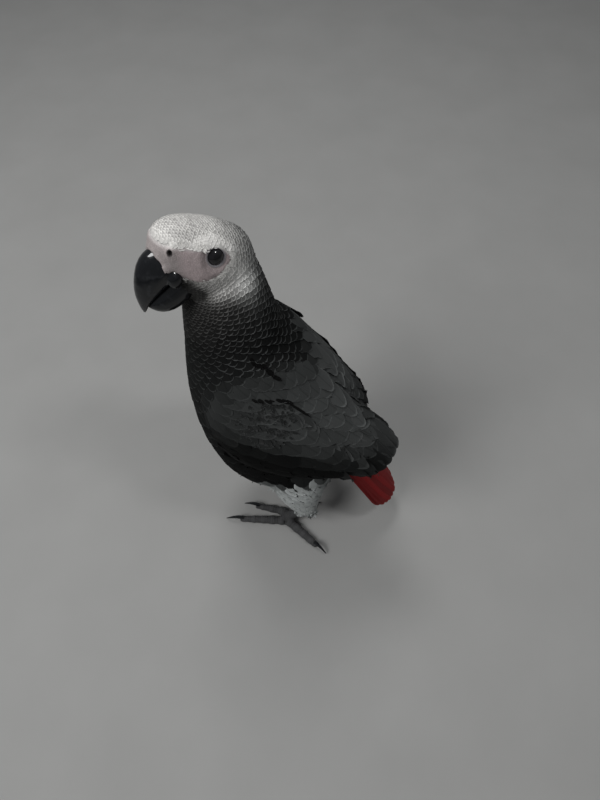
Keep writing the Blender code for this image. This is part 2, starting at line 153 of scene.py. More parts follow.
# %% [markdown]
# ## One continuous form
# The solids of flesh meet at thin gaps. A voxel remesh joins them into one closed surface, and a
# gentle smoothing takes the joins away. Feathers are later laid on this form, and the skin is the
# same form sunk by the depth of the coat, so both follow the same body.

# %% Mesh helpers
def solid_arrays(nodes, grow):
    """Points and faces of CAD nodes together, swollen a little so that they touch."""
    points, faces, owners = [], [], []
    for name in nodes:
        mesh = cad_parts[name].data
        base = sum(len(p) for p in points)
        co = np.array([v.co[:] for v in mesh.vertices]) / MM
        welded, back = np.unique(np.round(co, 3), axis=0, return_inverse=True)
        back = back.ravel()
        corners = [[int(back[i]) for i in p.vertices] for p in mesh.polygons]
        corners = [c for c in corners if len(set(c)) == len(c)]
        normal = point_normals(welded, np.array(corners))
        points.append(welded + normal * grow)
        faces += [[base + i for i in c] for c in corners]
        owners += [name] * len(corners)
    return np.vstack(points), faces, owners


def point_normals(points, faces):
    """Area-weighted normals at the points of triangles or quads."""
    a, b, c = points[faces[:, 0]], points[faces[:, 1]], points[faces[:, 2]]
    across = np.cross(b - a, c - a)
    if faces.shape[1] == 4:
        across = np.cross(c - a, points[faces[:, 3]] - b)
    total = np.zeros_like(points)
    for corner in range(faces.shape[1]):
        for axis in range(3):
            total[:, axis] += np.bincount(faces[:, corner], across[:, axis], len(points))
    return unit(total)


def new_object(name, mesh):
    item = bpy.data.objects.new(name, mesh)
    bpy.context.scene.collection.objects.link(item)
    return item


def voxel_mesh(points, faces, voxel):
    """A closed surface of even quads round all the given bodies."""
    mesh = bpy.data.meshes.new("blank")
    mesh.from_pydata([tuple(p) for p in points], [], faces)
    item = new_object("blank", mesh)
    remesh = item.modifiers.new("remesh", "REMESH")
    remesh.mode = "VOXEL"
    remesh.voxel_size = voxel
    bpy.context.view_layer.update()
    made = bpy.data.meshes.new_from_object(item.evaluated_get(bpy.context.evaluated_depsgraph_get()))
    bpy.data.objects.remove(item, do_unlink=True)
    bpy.data.meshes.remove(mesh)
    return made


def refine(mesh, wanted):
    """Cut the faces whose middle is wanted in four."""
    bm = bmesh.new()
    bm.from_mesh(mesh)
    bm.faces.ensure_lookup_table()
    middles = np.array([f.calc_center_median()[:] for f in bm.faces])
    chosen = wanted(middles)
    edges = list({e for f, use in zip(bm.faces, chosen) if use for e in f.edges})
    bmesh.ops.subdivide_edges(bm, edges=edges, cuts=1, use_grid_fill=True)
    bm.to_mesh(mesh)
    bm.free()


def arrays(mesh):
    points = np.zeros(len(mesh.vertices) * 3)
    mesh.vertices.foreach_get("co", points)
    edges = np.zeros(len(mesh.edges) * 2, dtype=int)
    mesh.edges.foreach_get("vertices", edges)
    return points.reshape(-1, 3), edges.reshape(-1, 2)


def relaxed(values, edges, strength, rounds):
    """Values at points drawn towards their neighbours' mean."""
    values = values.reshape(len(values), -1).copy()
    count = np.maximum(np.bincount(edges.ravel(), minlength=len(values)), 1)[:, None]
    for _ in range(rounds):
        total = np.empty_like(values)
        for column in range(values.shape[1]):
            near = values[:, column]
            total[:, column] = (np.bincount(edges[:, 0], near[edges[:, 1]], len(values))
                                + np.bincount(edges[:, 1], near[edges[:, 0]], len(values)))
        values += strength * (total / count - values)
    return values


def mesh_normals(mesh):
    normal = np.zeros(len(mesh.vertices) * 3)
    mesh.vertices.foreach_get("normal", normal)
    return normal.reshape(-1, 3)


# %% Build the form
FORM_VOXEL = 1.5
FORM_GROW = 0.3
SMOOTH_BODY, SMOOTH_SHOULDER, SMOOTH_ROUNDS = 0.22, 0.5, 30
TOES = [f"{side}_toe_{number}" for side in SIDES for number in (1, 2, 3, 4)]
LEGS = [f"{side}_{part}" for side in SIDES for part in ("thigh", "tarsus")]
FLESH = ["head", "cere", "neck", "trunk", "left_wing", "right_wing"] + LEGS + TOES
HELD = ["left_eye", "right_eye", "upper_bill", "lower_bill"]
KINDS = ("wing", "thigh", "foot", "bill", "eye", "head")


def kind_of(node):
    if "toe" in node or "tarsus" in node:
        return "foot"
    return next((kind for kind in KINDS if kind in node), "head" if node == "cere" else "body")


# Where the form is cut finer: a middle in head coordinates and how far round it, or a height
FINE_FACE, FINE_FACE_REACH, FINE_FACE_BACK = np.array([0.0, -14.0, 2.0]), 31.0, 6.0
FINE_EYE_REACH = 10.5
FINE_NOSTRIL, FINE_NOSTRIL_REACH = np.array([8.5, -27.5, 14.0]), 5.0
FINE_LIDS, FINE_LIDS_REACH = EYE_MIDDLE + np.array([4.5, 0.0, 1.0]), 6.2
FINE_FEET, FINE_TOES = 30.0, 20.0


def within(local, middle, reach):
    return np.linalg.norm(local - middle, axis=1) < reach


def near_face(middles):
    """Faces of the head round the eyes, the cere and the bill, and of the feet."""
    local = to_head(middles)
    face = within(local, FINE_FACE, FINE_FACE_REACH) & (local[:, 1] < FINE_FACE_BACK)
    return face | (middles[:, 2] < FINE_FEET)


def near_eyes(middles):
    local = to_half_head(middles)
    eye = within(local, EYE_MIDDLE, FINE_EYE_REACH)
    nostril = within(local, FINE_NOSTRIL, FINE_NOSTRIL_REACH)
    return eye | nostril | (middles[:, 2] < FINE_TOES)


def near_lids(middles):
    return within(to_half_head(middles), FINE_LIDS, FINE_LIDS_REACH)


flesh_points, flesh_faces, flesh_owners = solid_arrays(FLESH + HELD, FORM_GROW)
form = voxel_mesh(flesh_points, flesh_faces, FORM_VOXEL)
refine(form, near_face)
refine(form, near_eyes)
refine(form, near_lids)
form_points, form_edges = arrays(form)
flesh_tree = BVHTree.FromPolygons([tuple(p) for p in flesh_points], flesh_faces)
form_owner = np.array([flesh_owners[flesh_tree.find_nearest(Vector(p))[2]] for p in form_points])
form_kind = np.array([kind_of(owner) for owner in form_owner])

# Bill that is less far ahead than this and higher than this belongs to the lip of the cere
LIP_AHEAD, LIP_UP = 31.0, 3.6
form_local = to_head(form_points)
lip_points = (form_kind == "bill") & (-form_local[:, 1] < LIP_AHEAD) & (form_local[:, 2] > LIP_UP)
form_kind[lip_points] = "head"


def share(kind, rounds):
    """How much a point of the form belongs to a kind of solid, with soft borders."""
    return relaxed((form_kind == kind).astype(float), form_edges, 0.5, rounds)[:, 0]


on_lip = relaxed(lip_points.astype(float), form_edges, 0.5, 6)[:, 0]
on_foot = share("foot", 4)
on_bill = share("bill", 3)
on_wing = share("wing", 60)
on_thigh = share("thigh", 12)
shoulder_blend = step(150.0, 185.0, form_points[:, 2]) * step(20.0, 0.0, form_points[:, 1])
strength = SMOOTH_BODY + SMOOTH_SHOULDER * shoulder_blend
strength = strength * (1.0 - 0.9 * on_foot) * (1.0 - 0.7 * on_bill)
form_points = relaxed(form_points, form_edges, strength[:, None], SMOOTH_ROUNDS)
form.vertices.foreach_set("co", form_points.ravel())
form.update()
form_normals = mesh_normals(form)
print("form:", len(form.vertices), "points,", len(form.polygons), "faces")

# %% [markdown]
# ## The markings
# A young grey parrot is white on the forehead, finely scaled grey on the crown, darker down the neck
# and slate on the wings, with a pale thigh and rump. Each feather is darker in the middle than at its
# margin, which draws the scalloped rows. The colours are worked out from the distance to the bill and
# from places on the head, and the skin under the coat takes the same ones. Some of the darkening is
# painted shade: on the lower head and neck, low on the body and on the wing's lower part.

# %% Distances and masks
BILL_ROOT = np.array([0.0, -29.0, 4.0])
# The naked face between two lines: how far ahead of the head's middle, and the line's height there
BARE_TOP = ((-4.0, 7.0), (0.0, 11.6), (4.5, 14.0), (9.0, 14.8), (16.0, 15.6), (22.0, 17.5), (30.0, 18.5))
BARE_LOW = ((-4.0, 5.0), (0.0, 1.6), (4.0, -1.6), (8.0, -3.2), (14.0, -4.4), (19.0, -4.0),
            (24.0, -1.0), (30.0, 3.0))
BARE_MIDLINE = 5.5


def from_bill(points):
    return np.linalg.norm(to_head(points) - BILL_ROOT, axis=1)


def folded(points):
    """Head coordinates with both sides laid on one: out, ahead, up."""
    local = to_half_head(points)
    return local[:, 0], -local[:, 1], local[:, 2]


EYE_FACING = unit(np.array([0.965, -0.13, 0.23]))


def eye_reach(points):
    """How far points are from the nearer eye's axis; points not facing an eye are far away."""
    offset = to_half_head(points) - EYE_MIDDLE
    height = offset @ EYE_FACING
    reach = np.linalg.norm(offset - height[:, None] * EYE_FACING, axis=1)
    return np.where(height > -1.0, reach, 99.0)


def bare_skin(points):
    """1 on the naked face from the nostrils to behind the eye, 0 where feathers grow."""
    out, ahead, up = folded(points)
    top = np.interp(ahead, *zip(*BARE_TOP))
    low = np.interp(ahead, *zip(*BARE_LOW))
    inside = np.minimum(top - up, up - low)
    ends = np.minimum(ahead + 4.0, 36.0 - ahead)
    aside = np.maximum(step(BARE_MIDLINE, BARE_MIDLINE + 3.0, out), step(26.5, 29.0, ahead))
    return step(-0.8, 1.2, np.minimum(inside, ends)) * aside


def blob(points, place, size):
    """A soft spot in head coordinates, on both sides of the head."""
    away = [((value - p) / s)**2 for value, p, s in zip(folded(points), place, size)]
    return np.exp(-(away[0] + away[1] + away[2]))


# %% Plumage colours
# Distance from the bill, colour of a feather's middle, colour of its margin (grey levels)
PLUMAGE = (
    (0.0, 0.70, 0.76),
    (13.0, 0.55, 0.69),
    (22.0, 0.28, 0.50),
    (34.0, 0.31, 0.58),
    (46.0, 0.135, 0.42),
    (56.0, 0.044, 0.20),
    (66.0, 0.012, 0.100),
    (80.0, 0.006, 0.065),
    (100.0, 0.006, 0.045),
    (130.0, 0.008, 0.036),
    (200.0, 0.006, 0.022),
)
SLATE = np.array([0.96, 1.01, 1.0])
WARM = np.array([1.02, 1.0, 0.965])


def grey_levels(points, wing=None, thigh=None):
    """Grey levels of a feather's middle and margin at world points."""
    out, ahead, up = folded(points)
    # Painted shade: below the eyes the head counts as farther from the bill, so its lower parts come out
    # darker.
    shade = 1.7 * np.clip(-9.0 - up, 0.0, 14.0) * step(-16.0, 4.0, ahead)
    far = from_bill(points) + shade
    table = np.array(PLUMAGE)
    middle = np.interp(far, table[:, 0], table[:, 1])
    margin = np.interp(far, table[:, 0], table[:, 2])
    over = up - np.interp(ahead, *zip(*BARE_TOP))
    brow = step(-2.5, -0.5, over) * step(5.0, 2.2, over) * step(-4.0, 3.0, ahead) * step(6.0, 9.0, out)
    temple = step(17.0, 10.0, eye_reach(points)) * step(-9.0, 0.0, up) * step(8.0, 3.5, over)
    ear = blob(points, (21.0, -9.0, -6.0), (8.0, 8.0, 8.0))
    jaw = np.clip(1.6 * blob(points, (14.0, 15.5, -13.5), (7.0, 7.0, 8.5)), 0.0, 1.0)
    chin = step(15.0, 19.0, ahead) * step(0.0, -5.0, up)
    throat = step(-14.0, -24.0, up) * step(4.0, 12.0, ahead)
    rump = step(5.0, 30.0, points[:, 1]) * step(135.0, 105.0, points[:, 2])
    # Painted shade: feathers low on the body, towards the belly, are darker.
    underside_shade = step(120.0, 78.0, points[:, 2])
    vent = step(76.0, 64.0, points[:, 2]) * step(-30.0, -18.0, points[:, 1])
    middle, margin = middle * (1.0 - 0.4 * underside_shade), margin * (1.0 - 0.5 * underside_shade)
    for mask, level, edge in ((0.85 * temple, 0.55, 0.74), (brow, 0.62, 0.66), (0.9 * ear, 0.50, 0.82),
                              (jaw, 0.016, 0.040), (chin, 0.016, 0.030), (0.85 * throat, 0.007, 0.03),
                              (rump, 0.10, 0.20), (vent, 0.25, 0.33)):
        middle = middle + mask * (level - middle)
        margin = margin + mask * (edge - margin)
    if wing is not None:
        # Painted shade: the wing's lower part, which faces down, is darkened almost to black. The wing is
        # also darker towards its front.
        low = step(172.0, 128.0, points[:, 2] + 0.25 * np.clip(points[:, 1], 0.0, None))
        front = step(15.0, -35.0, points[:, 1])
        dim = (1.0 - 0.95 * low) * (1.0 - 0.5 * front)
        middle = middle + wing * (0.046 * dim - middle)
        margin = margin + wing * (0.072 * dim - margin)
    if thigh is not None:
        middle = middle + thigh * (0.27 - middle)
        margin = margin + thigh * (0.33 - margin)
    return middle, margin


def tinted(levels, points):
    """Grey levels as colours: warm white on the head, a little slate on the body."""
    cool = step(30.0, 80.0, from_bill(points))[:, None]
    return levels[:, None] * (WARM + cool * (SLATE - WARM))


# %% [markdown]
# ## The skin
# A museum would model the flesh first. The form sinks by the depth of the coat, which is next to
# nothing on the feet and the naked face and two to three millimetres on the body. Round each eye it
# folds into lids, over the bill it swells into the cere with its two nostrils, and it goes in under
# the bill's edge.

# %% Sink the form to the skin
COAT_HEAD, COAT_NECK, COAT_BODY = 0.9, 2.0, 2.8
COAT_BARE, COAT_FOOT, COAT_SHANK = 0.35, 0.3, 0.5
THIN_SHARE = 0.28               # the coat takes at most this share of a thin part
form_corners = [tuple(p.vertices) for p in form.polygons]
form_tree = BVHTree.FromPolygons([tuple(p) for p in form_points], form_corners)
form_face_normals = np.array([form_normals[list(c)].mean(axis=0) for c in form_corners])
form_face_middles = np.array([form_points[list(c)].mean(axis=0) for c in form_corners])


def thickness(points, normals):
    """How much body lies under each point of the form."""
    deep = np.full(len(points), 40.0)
    for i, (point, normal) in enumerate(zip(points, normals)):
        start = Vector(point) - Vector(normal) * 0.2
        hit = form_tree.ray_cast(start, -Vector(normal), 40.0)
        if hit[3] is not None:
            deep[i] = hit[3]
    return deep


def coat_depth():
    far = from_bill(form_points)
    depth = np.interp(far, (20.0, 48.0, 80.0), (COAT_HEAD, COAT_NECK, COAT_BODY))
    depth = np.minimum(depth, THIN_SHARE * thickness(form_points, form_normals))
    depth = relaxed(depth, form_edges, 0.5, 12)[:, 0]
    bare = relaxed(bare_skin(form_points), form_edges, 0.5, 25)[:, 0]
    depth = depth * (1.0 - bare) + COAT_BARE * bare
    depth = depth * (1.0 - on_foot) + COAT_FOOT * on_foot
    shank = step(40.0, 27.0, form_points[:, 2]) * step(100.0, 80.0, form_points[:, 2])
    depth = depth * (1.0 - shank) + np.minimum(depth, COAT_SHANK) * shank
    return depth


form_depth = coat_depth()
form_bare = bare_skin(form_points)
print("coat depth from", round(form_depth.min(), 2), "to", round(form_depth.max(), 2), "mm")

# %% Sculpt the face
LID_OPENING = 4.5
LID_REACH = 10.0
NOSTRIL = np.array([11.0, -27.1, 14.7])


def noise_waves(points, scale, seed):
    """Smooth pseudo-random heights from a few crossed waves."""
    draw = np.random.default_rng(seed)
    total = np.zeros(len(points))
    for _ in range(7):
        direction = unit(draw.normal(size=3)) / scale * draw.uniform(0.7, 1.5)
        total += np.sin(points @ direction * 2 * math.pi + draw.uniform(0, 2 * math.pi))
    return total / 7.0


def sculpt_eye(local, side):
    """Fold the skin round one eye into a ring of lids, and sink what the ball hides."""
    facing, ball = on_side(EYE_FACING, side), on_side(EYE_MIDDLE, side)
    offset = local - ball
    height = offset @ facing
    across = offset - height[:, None] * facing
    reach = np.linalg.norm(across, axis=1)
    near = (reach < LID_REACH) & (height > -1.0)
    rim_height = math.sqrt(EYE_RADIUS**2 - LID_OPENING**2) + 0.25
    blend = step(LID_OPENING, LID_REACH, reach)
    fold = 0.30 * np.exp(-((reach - LID_OPENING - 0.6) / 0.55)**2)
    crease = -0.12 * np.exp(-((reach - LID_OPENING - 1.7) / 0.4)**2)
    wrinkle = 0.045 * np.sin(reach * 6.5 + 2.5 * noise_waves(local, 5.0, 3)) * step(5.4, 6.4, reach)
    lid = rim_height + blend * (height - rim_height) + fold + crease + wrinkle * (1.0 - blend)
    sunk = np.sqrt(np.maximum(EYE_RADIUS**2 - reach**2, 0.0)) - 1.3
    inside = step(LID_OPENING + 0.05, LID_OPENING - 0.45, reach)
    wanted = lid * (1.0 - inside) + sunk * inside
    shaped = ball + across + wanted[:, None] * facing
    return np.where(near[:, None], shaped, local)


def sculpt_nostril(local, normals, side):
    """A soft swelling with a round hole in its middle."""
    away = np.linalg.norm((local - on_side(NOSTRIL, side)) * np.array([1.0, 1.0, 0.75]), axis=1)
    swell = 0.6 * np.exp(-(away / 3.0)**2)
    hole = -2.2 * step(1.5, 0.7, away)
    rim = 0.2 * np.exp(-((away - 1.9) / 0.5)**2)
    return local + normals * (swell + rim + hole)[:, None]


def sculpt_face(points, normals):
    local = to_head(points)
    turned = normals @ AXES
    for side in SIDES.values():
        local = sculpt_eye(local, side)
        local = sculpt_nostril(local, turned, side)
    ripple = 0.10 * noise_waves(local, 1.5, 5) + 0.10 * noise_waves(local, 3.2, 6)
    local = local + turned * (ripple * form_bare)[:, None]
    brow = np.exp(-((np.abs(local[:, 0]) - 14.6) / 2.5)**2 - ((-local[:, 1] - 10.5) / 2.2)**2
                  - ((local[:, 2] - 14.6 + 0.35 * (-local[:, 1] - 10.5)) / 0.5)**2)
    local = local - turned * (0.55 * brow)[:, None]
    return from_head(local)


SCUTE, KNUCKLE = 2.1, 8.0


def foot_relief():
    """Scutes across the top of toes and shanks, and knuckles along the toes; nothing on the soles."""
    relief = np.zeros(len(form_points))
    for name in TOES + [side + "_tarsus" for side in SIDES]:
        mine = np.flatnonzero(form_owner == name)
        solid = np.array([v.co[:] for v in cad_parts[name].data.vertices]) / MM
        middle = solid.mean(axis=0)
        axis = np.linalg.svd(solid - middle)[2][0]
        along = (form_points[mine] - middle) @ axis
        top = step(-0.3, 0.4, form_normals[mine, 2]) if "toe" in name else 1.0
        scute = np.abs(np.sin(math.pi * along / SCUTE))**0.6 - 0.6
        knuckle = (0.5 + 0.5 * np.cos(2 * math.pi * along / KNUCKLE))**2
        above = step(0.6, 2.0, form_points[mine, 2])
        relief[mine] = (0.30 * scute * top + 0.35 * knuckle * ("toe" in name) + 0.25) * above
    return relief * step(0.4, 0.9, on_foot)


form_relief = foot_relief()


def make_skin():
    under_bill = 1.5 * step(0.25, 0.75, on_bill)
    points = form_points - form_normals * (form_depth + under_bill - 1.0 * on_lip - form_relief)[:, None]
    points = sculpt_face(points, form_normals)
    mesh = form.copy()
    mesh.name = "skin"
    mesh.vertices.foreach_set("co", (points * MM).ravel())
    mesh.update()
    mesh.shade_smooth()
    return new_object("skin", mesh)


skin = make_skin()
print("skin:", len(skin.data.polygons), "faces")

# %% [markdown]
# ## How a feather is made and laid
# A feather here is a curved vane: a grid of faces from the quill to a rounded, slightly frayed tip.
# It walks over the form along the lie of the coat, so it bends with the body. The quill starts on
# the skin and the tip rises to the coat's surface, which makes every feather overlap the next one
# behind it, as real ones do. Roots stand in rows, each between two of the row before, and the rows
# are closer where feathers are small.

# %% The lie of the coat
DOWN_BODY = np.array([0.0, 0.22, -1.0])
ALONG_WING, ACROSS_WING = np.array([0.0, 0.74, -0.67]), np.array([0.0, 0.67, 0.74])


def face_values(values):
    return np.array([values[list(c)].mean() for c in form_corners])


face_wing, face_thigh = face_values(on_wing), face_values(on_thigh)
face_foot, face_bill = face_values(on_foot), face_values(on_bill)
face_bare, face_depth = face_values(form_bare), face_values(form_depth)
face_eye = face_values((form_kind == "eye").astype(float))


def on_form(points):
    """Nearest places on the form, their normals, and the faces they lie on."""
    found = [form_tree.find_nearest(Vector(p)) for p in points]
    place = np.array([f[0][:] for f in found])
    number = np.array([f[2] for f in found])
    return place, form_face_normals[number], number


def lie(points, normals, wing, thigh):
    """The direction that feathers point in, along the surface."""
    local = to_head(points) - BILL_ROOT
    away = unit(local) @ AXES.T
    far = np.linalg.norm(local, axis=1)
    head_part = step(100.0, 48.0, far)[:, None]
    wing = step(0.25, 0.75, wing)[:, None]
    thigh = step(0.3, 0.8, thigh)[:, None]
    side = np.sign(points[:, 0])
    leg = np.column_stack([0.35 * side, np.full(len(points), 0.15), np.full(len(points), -1.0)])
    body = (1.0 - wing) * unit(DOWN_BODY) + wing * unit(ALONG_WING)
    body = (1.0 - thigh) * body + thigh * unit(leg)
    direction = head_part * away + (1.0 - head_part) * body
    direction = direction - normals * np.sum(direction * normals, axis=1, keepdims=True)
    return unit(direction)


# %% Row numbers over the whole form
# Distance from the bill, and the gap there between one row of feathers and the next
ROW_GAP = ((0.0, 0.95), (14.0, 1.0), (28.0, 1.2), (40.0, 1.6), (50.0, 2.2), (62.0, 2.8), (78.0, 3.7),
           (95.0, 4.6), (130.0, 5.4), (230.0, 5.4))
# Distance from the bill, and how many row gaps lie between two neighbours of a row
ROW_RATIO = ((0.0, 1.75), (28.0, 1.8), (46.0, 2.3), (70.0, 2.3), (100.0, 2.1), (230.0, 2.0))
WING_COARSER, THIGH_FINER = 1.5, 0.62
# Distance from the bill, and the share of a feather that its pale margin takes
MARGIN_WIDTH = ((20.0, 0.28), (38.0, 0.20), (50.0, 0.13), (62.0, 0.095), (100.0, 0.080), (230.0, 0.075))
WING_MARGIN, THIGH_MARGIN = 0.06, 0.35


def row_gap(points, wing, thigh):
    gap = np.interp(from_bill(points), *zip(*ROW_GAP))
    gap = gap * (1.0 + (WING_COARSER - 1.0) * step(0.25, 0.75, wing))
    return gap * (1.0 + (THIGH_FINER - 1.0) * step(0.3, 0.8, thigh))


def row_numbers(rounds=350):
    """A number at each point of the form that grows by one from a row to the next, by least squares."""
    first, second = form_edges[:, 0], form_edges[:, 1]
    direction = lie(form_points, form_normals, on_wing, on_thigh)
    gap = row_gap(form_points, on_wing, on_thigh)
    between = form_points[second] - form_points[first]
    wanted = np.sum((direction[first] + direction[second]) / 2 * between, axis=1)
    wanted = wanted / ((gap[first] + gap[second]) / 2)
    count = len(form_points)

    def gather(values):
        return np.bincount(second, values, count) - np.bincount(first, values, count)

    table = np.array(ROW_GAP)
    grid = np.linspace(0.0, 260.0, 521)
    climbed = np.concatenate([[0.0], np.cumsum(0.5 / np.interp(grid[1:], table[:, 0], table[:, 1]))])
    number = np.interp(from_bill(form_points), grid, climbed)
    degree = np.maximum(np.bincount(form_edges.ravel(), minlength=count), 1)
    rest = gather(wanted - (number[second] - number[first]))
    step_by = rest / degree
    push = rest @ step_by
    for _ in range(rounds):
        spread_out = gather(step_by[second] - step_by[first])
        share_of = push / (step_by @ spread_out)
        number = number + share_of * step_by
        rest = rest - share_of * spread_out
        scaled = rest / degree
        push, before = rest @ scaled, push
        step_by = scaled + push / before * step_by
    return number


row_number = row_numbers()
print("rows from", round(row_number.min()), "to", round(row_number.max()))

# %% Lines of equal row number
def loop_arrays():
    edge_of = np.zeros(len(form.loops), dtype=int)
    form.loops.foreach_get("edge_index", edge_of)
    total = np.zeros(len(form.polygons), dtype=int)
    form.polygons.foreach_get("loop_total", total)
    return edge_of, np.repeat(np.arange(len(total)), total)


LOOP_EDGE, LOOP_FACE = loop_arrays()


def row_lines(level):
    """The lines on the form where the row number has this level, as ordered points."""
    first, second = row_number[form_edges[:, 0]], row_number[form_edges[:, 1]]
    crossed = (first < level) != (second < level)
    used = crossed[LOOP_EDGE]
    edge, face = LOOP_EDGE[used], LOOP_FACE[used]
    starts = np.flatnonzero(np.diff(face, prepend=-1))
    pairs = starts[np.diff(starts, append=len(face)) == 2]
    links = {}
    for a, b in zip(edge[pairs], edge[pairs + 1]):
        links.setdefault(int(a), []).append(int(b))
        links.setdefault(int(b), []).append(int(a))
    lines, seen = [], set()
    ends_first = sorted(links, key=lambda e: (len(links[e]), e))
    for begin in ends_first:
        if begin in seen:
            continue
        chain, here = [], begin
        while here is not None:
            seen.add(here)
            chain.append(here)
            here = next((e for e in links[here] if e not in seen), None)
        if len(chain) > 3:
            chain = np.array(chain)
            t = (level - first[chain]) / (second[chain] - first[chain])
            ends = form_points[form_edges[chain]]
            lines.append(ends[:, 0] + t[:, None] * (ends[:, 1] - ends[:, 0]))
    return lines


# %% Places in the rows
def even_places(wanted, total):
    """Places a unit apart on a row: those wanted, less the crowded ones, plus some in the gaps."""
    places = []
    for place in np.sort(wanted):
        if 0.0 <= place <= total and (not places or place - places[-1] > 0.6):
            places.append(place)
    filled, last = [], -0.5
    for place in places + [total + 0.5]:
        missing = int(round(place - last)) - 1
        filled += [last + (place - last) * (i + 1) / (missing + 1) for i in range(missing)]
        filled.append(place)
        last = place
    places = np.array(filled[:-1])
    for _ in range(4):
        if len(places) > 2:
            places[1:-1] += 0.25 * (places[2:] + places[:-2] - 2 * places[1:-1])
    return places


def rows_of_roots():
    """Roots row by row. Each one stands between two of the row before, as roof tiles do."""
    roots, between = [], np.zeros((0, 3))
    for level in range(int(row_number.min()) + 1, int(row_number.max())):
        tree = tree_of(between) if len(between) else None
        fresh = []
        for line in row_lines(level):
            found = [form_tree.find_nearest(Vector(p))[2] for p in line[::3]]
            number = np.repeat(found, 3)[:len(line)]
            gap = row_gap(line, face_wing[number], face_thigh[number])
            gap = gap * np.interp(from_bill(line), *zip(*ROW_RATIO))
            run = np.linalg.norm(np.diff(line, axis=0), axis=1) / ((gap[1:] + gap[:-1]) / 2)
            run = np.concatenate([[0.0], np.cumsum(run)])
            wanted = []
            if tree is not None:
                line_tree = tree_of(line)
                near = {j for p, g in zip(line[::2], gap[::2]) for _, j, _ in tree.find_range(p, 0.9 * g)}
                for j in sorted(near):
                    _, i, _ = line_tree.find(between[j])
                    ahead = line[min(i + 1, len(line) - 1)] - line[max(i - 1, 0)]
                    offset = (between[j] - line[i]) @ unit(ahead)
                    wanted.append(run[i] + offset / gap[i])
            places = even_places(np.array(wanted), run[-1])
            spots = np.column_stack([np.interp(places, run, line[:, axis]) for axis in range(3)])
            roots.append(spots)
            if len(spots) > 1:
                fresh.append((spots[1:] + spots[:-1]) / 2)
        between = np.vstack(fresh) if fresh else np.zeros((0, 3))
    return np.vstack(roots)


def tree_of(points):
    tree = KDTree(len(points))
    for i, point in enumerate(points):
        tree.insert(point, i)
    tree.balance()
    return tree


root_points, root_normals, root_faces = on_form(rows_of_roots())
print("roots:", len(root_points))

# %% One lay of vanes
ROW_STEPS = {"small": (0.0, 0.4, 0.68, 0.85, 0.95, 1.0),
             "large": (0.0, 0.2, 0.4, 0.58, 0.72, 0.83, 0.91, 0.965, 1.0)}


def widths(rows, root, tip):
    """Half width along the vane: narrow quill, broad middle, and the tip's own width."""
    grow = np.clip(rows / 0.45, 0.0, 1.0)
    fall = np.clip((rows - 0.62) / 0.38, 0.0, 1.0)
    return (root + (1.0 - root) * np.sin(grow * math.pi / 2)) * (1.0 - (1.0 - tip) * fall**2)


def lay(roots, normals, numbers, length, width, size="small", columns=7, root=0.35, tip=0.84, round_tip=0.36,
        fray=0.012, camber=0.05, lift=0.0, stray=0.045, sink=0.92, roll=0.030, rise=1.8, toward=None):
    """Vanes laid on the form. Returns points (feather, row, column), and their across and along."""
    rows = np.array(ROW_STEPS[size])
    across = np.linspace(-1.0, 1.0, columns)
    half_width = widths(rows, root, tip)
    count = len(roots)
    depth = face_depth[numbers]
    turn = rng.normal(0.0, stray, count)
    width = width * rng.uniform(0.92, 1.10, count)
    height_own = rng.normal(0.0, 0.035, count) * depth
    co = np.empty((count, len(rows), columns, 3))
    spine, normal, number = roots, normals, numbers
    for j, t in enumerate(rows):
        ahead = lie(spine, normal, face_wing[number], face_thigh[number])
        if toward is not None:
            ahead = unit(toward - normal * np.sum(toward * normal, axis=1, keepdims=True))
        side = np.cross(ahead, normal)
        ahead = ahead * np.cos(turn)[:, None] + side * np.sin(turn)[:, None]
        if j:
            spine, normal, number = on_form(spine + ahead * (length * (t - rows[j - 1]))[:, None])
            ahead = unit(ahead - normal * np.sum(ahead * normal, axis=1, keepdims=True))
        side = unit(np.cross(ahead, normal))
        half = (width / 2)[:, None]
        right = on_form(spine + side * half)[0]
        left = on_form(spine - side * half)[0]
        height = -depth * sink * (1.0 - t)**rise + lift * t**3 + height_own * t
        for k, u in enumerate(across):
            s = u * half_width[j]
            point = spine + s * (right - left) / 2 + s * s * ((right + left) / 2 - spine)
            back = width * round_tip * abs(u)**2.1 * t**3
            ragged = length * fray * rng.normal(0.0, 1.0, count) * (t > 0.9)
            drop = camber * width * s * s * (0.25 + 0.75 * t) - roll * width * s
            co[:, j, k] = point - ahead * (back + ragged)[:, None] + normal * (height - drop)[:, None]
    return co, across, rows


# %% [markdown]
# ## From vanes to meshes
# All the feathers of one region become one mesh. Each vane carries its own across and along in the
# map "Vane", its two colours, and a random number. Its patch in the map OFBake sits where its root
# lies on an unwrap of the skin: round the body and down it, or flat for the wing's face.

# %% Regions and their unwraps
def round_body(points, axis_low, axis_high):
    """Unwrap round an axis: angle and height."""
    axis = unit(axis_high - axis_low)
    offset = points - axis_low
    height = offset @ axis
    flat = offset - height[:, None] * axis
    first = unit(np.cross(axis, np.array([0.0, 1.0, 0.3])))
    second = np.cross(axis, first)
    return np.column_stack([np.arctan2(flat @ second, flat @ first) / (2 * math.pi) + 0.5, height])


def flat_side(points, _low, _high):
    """Unwrap of a wing's flat face: along and across it."""
    return np.column_stack([points @ ALONG_WING, points @ ACROSS_WING])


def bake_places(places):
    """Fit the unwrap into the unit square with a border."""
    low, high = places.min(axis=0), places.max(axis=0)
    return 0.02 + 0.96 * (places - low) / np.maximum(high - low, 1e-6)


def separate(places, patch, rounds=12):
    """Slide patches apart on the unwrap for a fixed number of rounds, so that they overlap less."""
    moved = np.column_stack([places, np.zeros(len(places))])
    for _ in range(rounds):
        tree = tree_of(moved)
        shift = np.zeros_like(moved)
        for i, place in enumerate(moved):
            for other, j, away in tree.find_range(place, 1.5 * patch):
                if j != i:
                    shift[i] += (place - np.array(other)) / max(away, 1e-6) * (1.5 * patch - away)
        moved = np.clip(moved + 0.3 * shift, 0.01, 0.99)
        moved[:, 2] = 0.0
    return moved[:, :2]


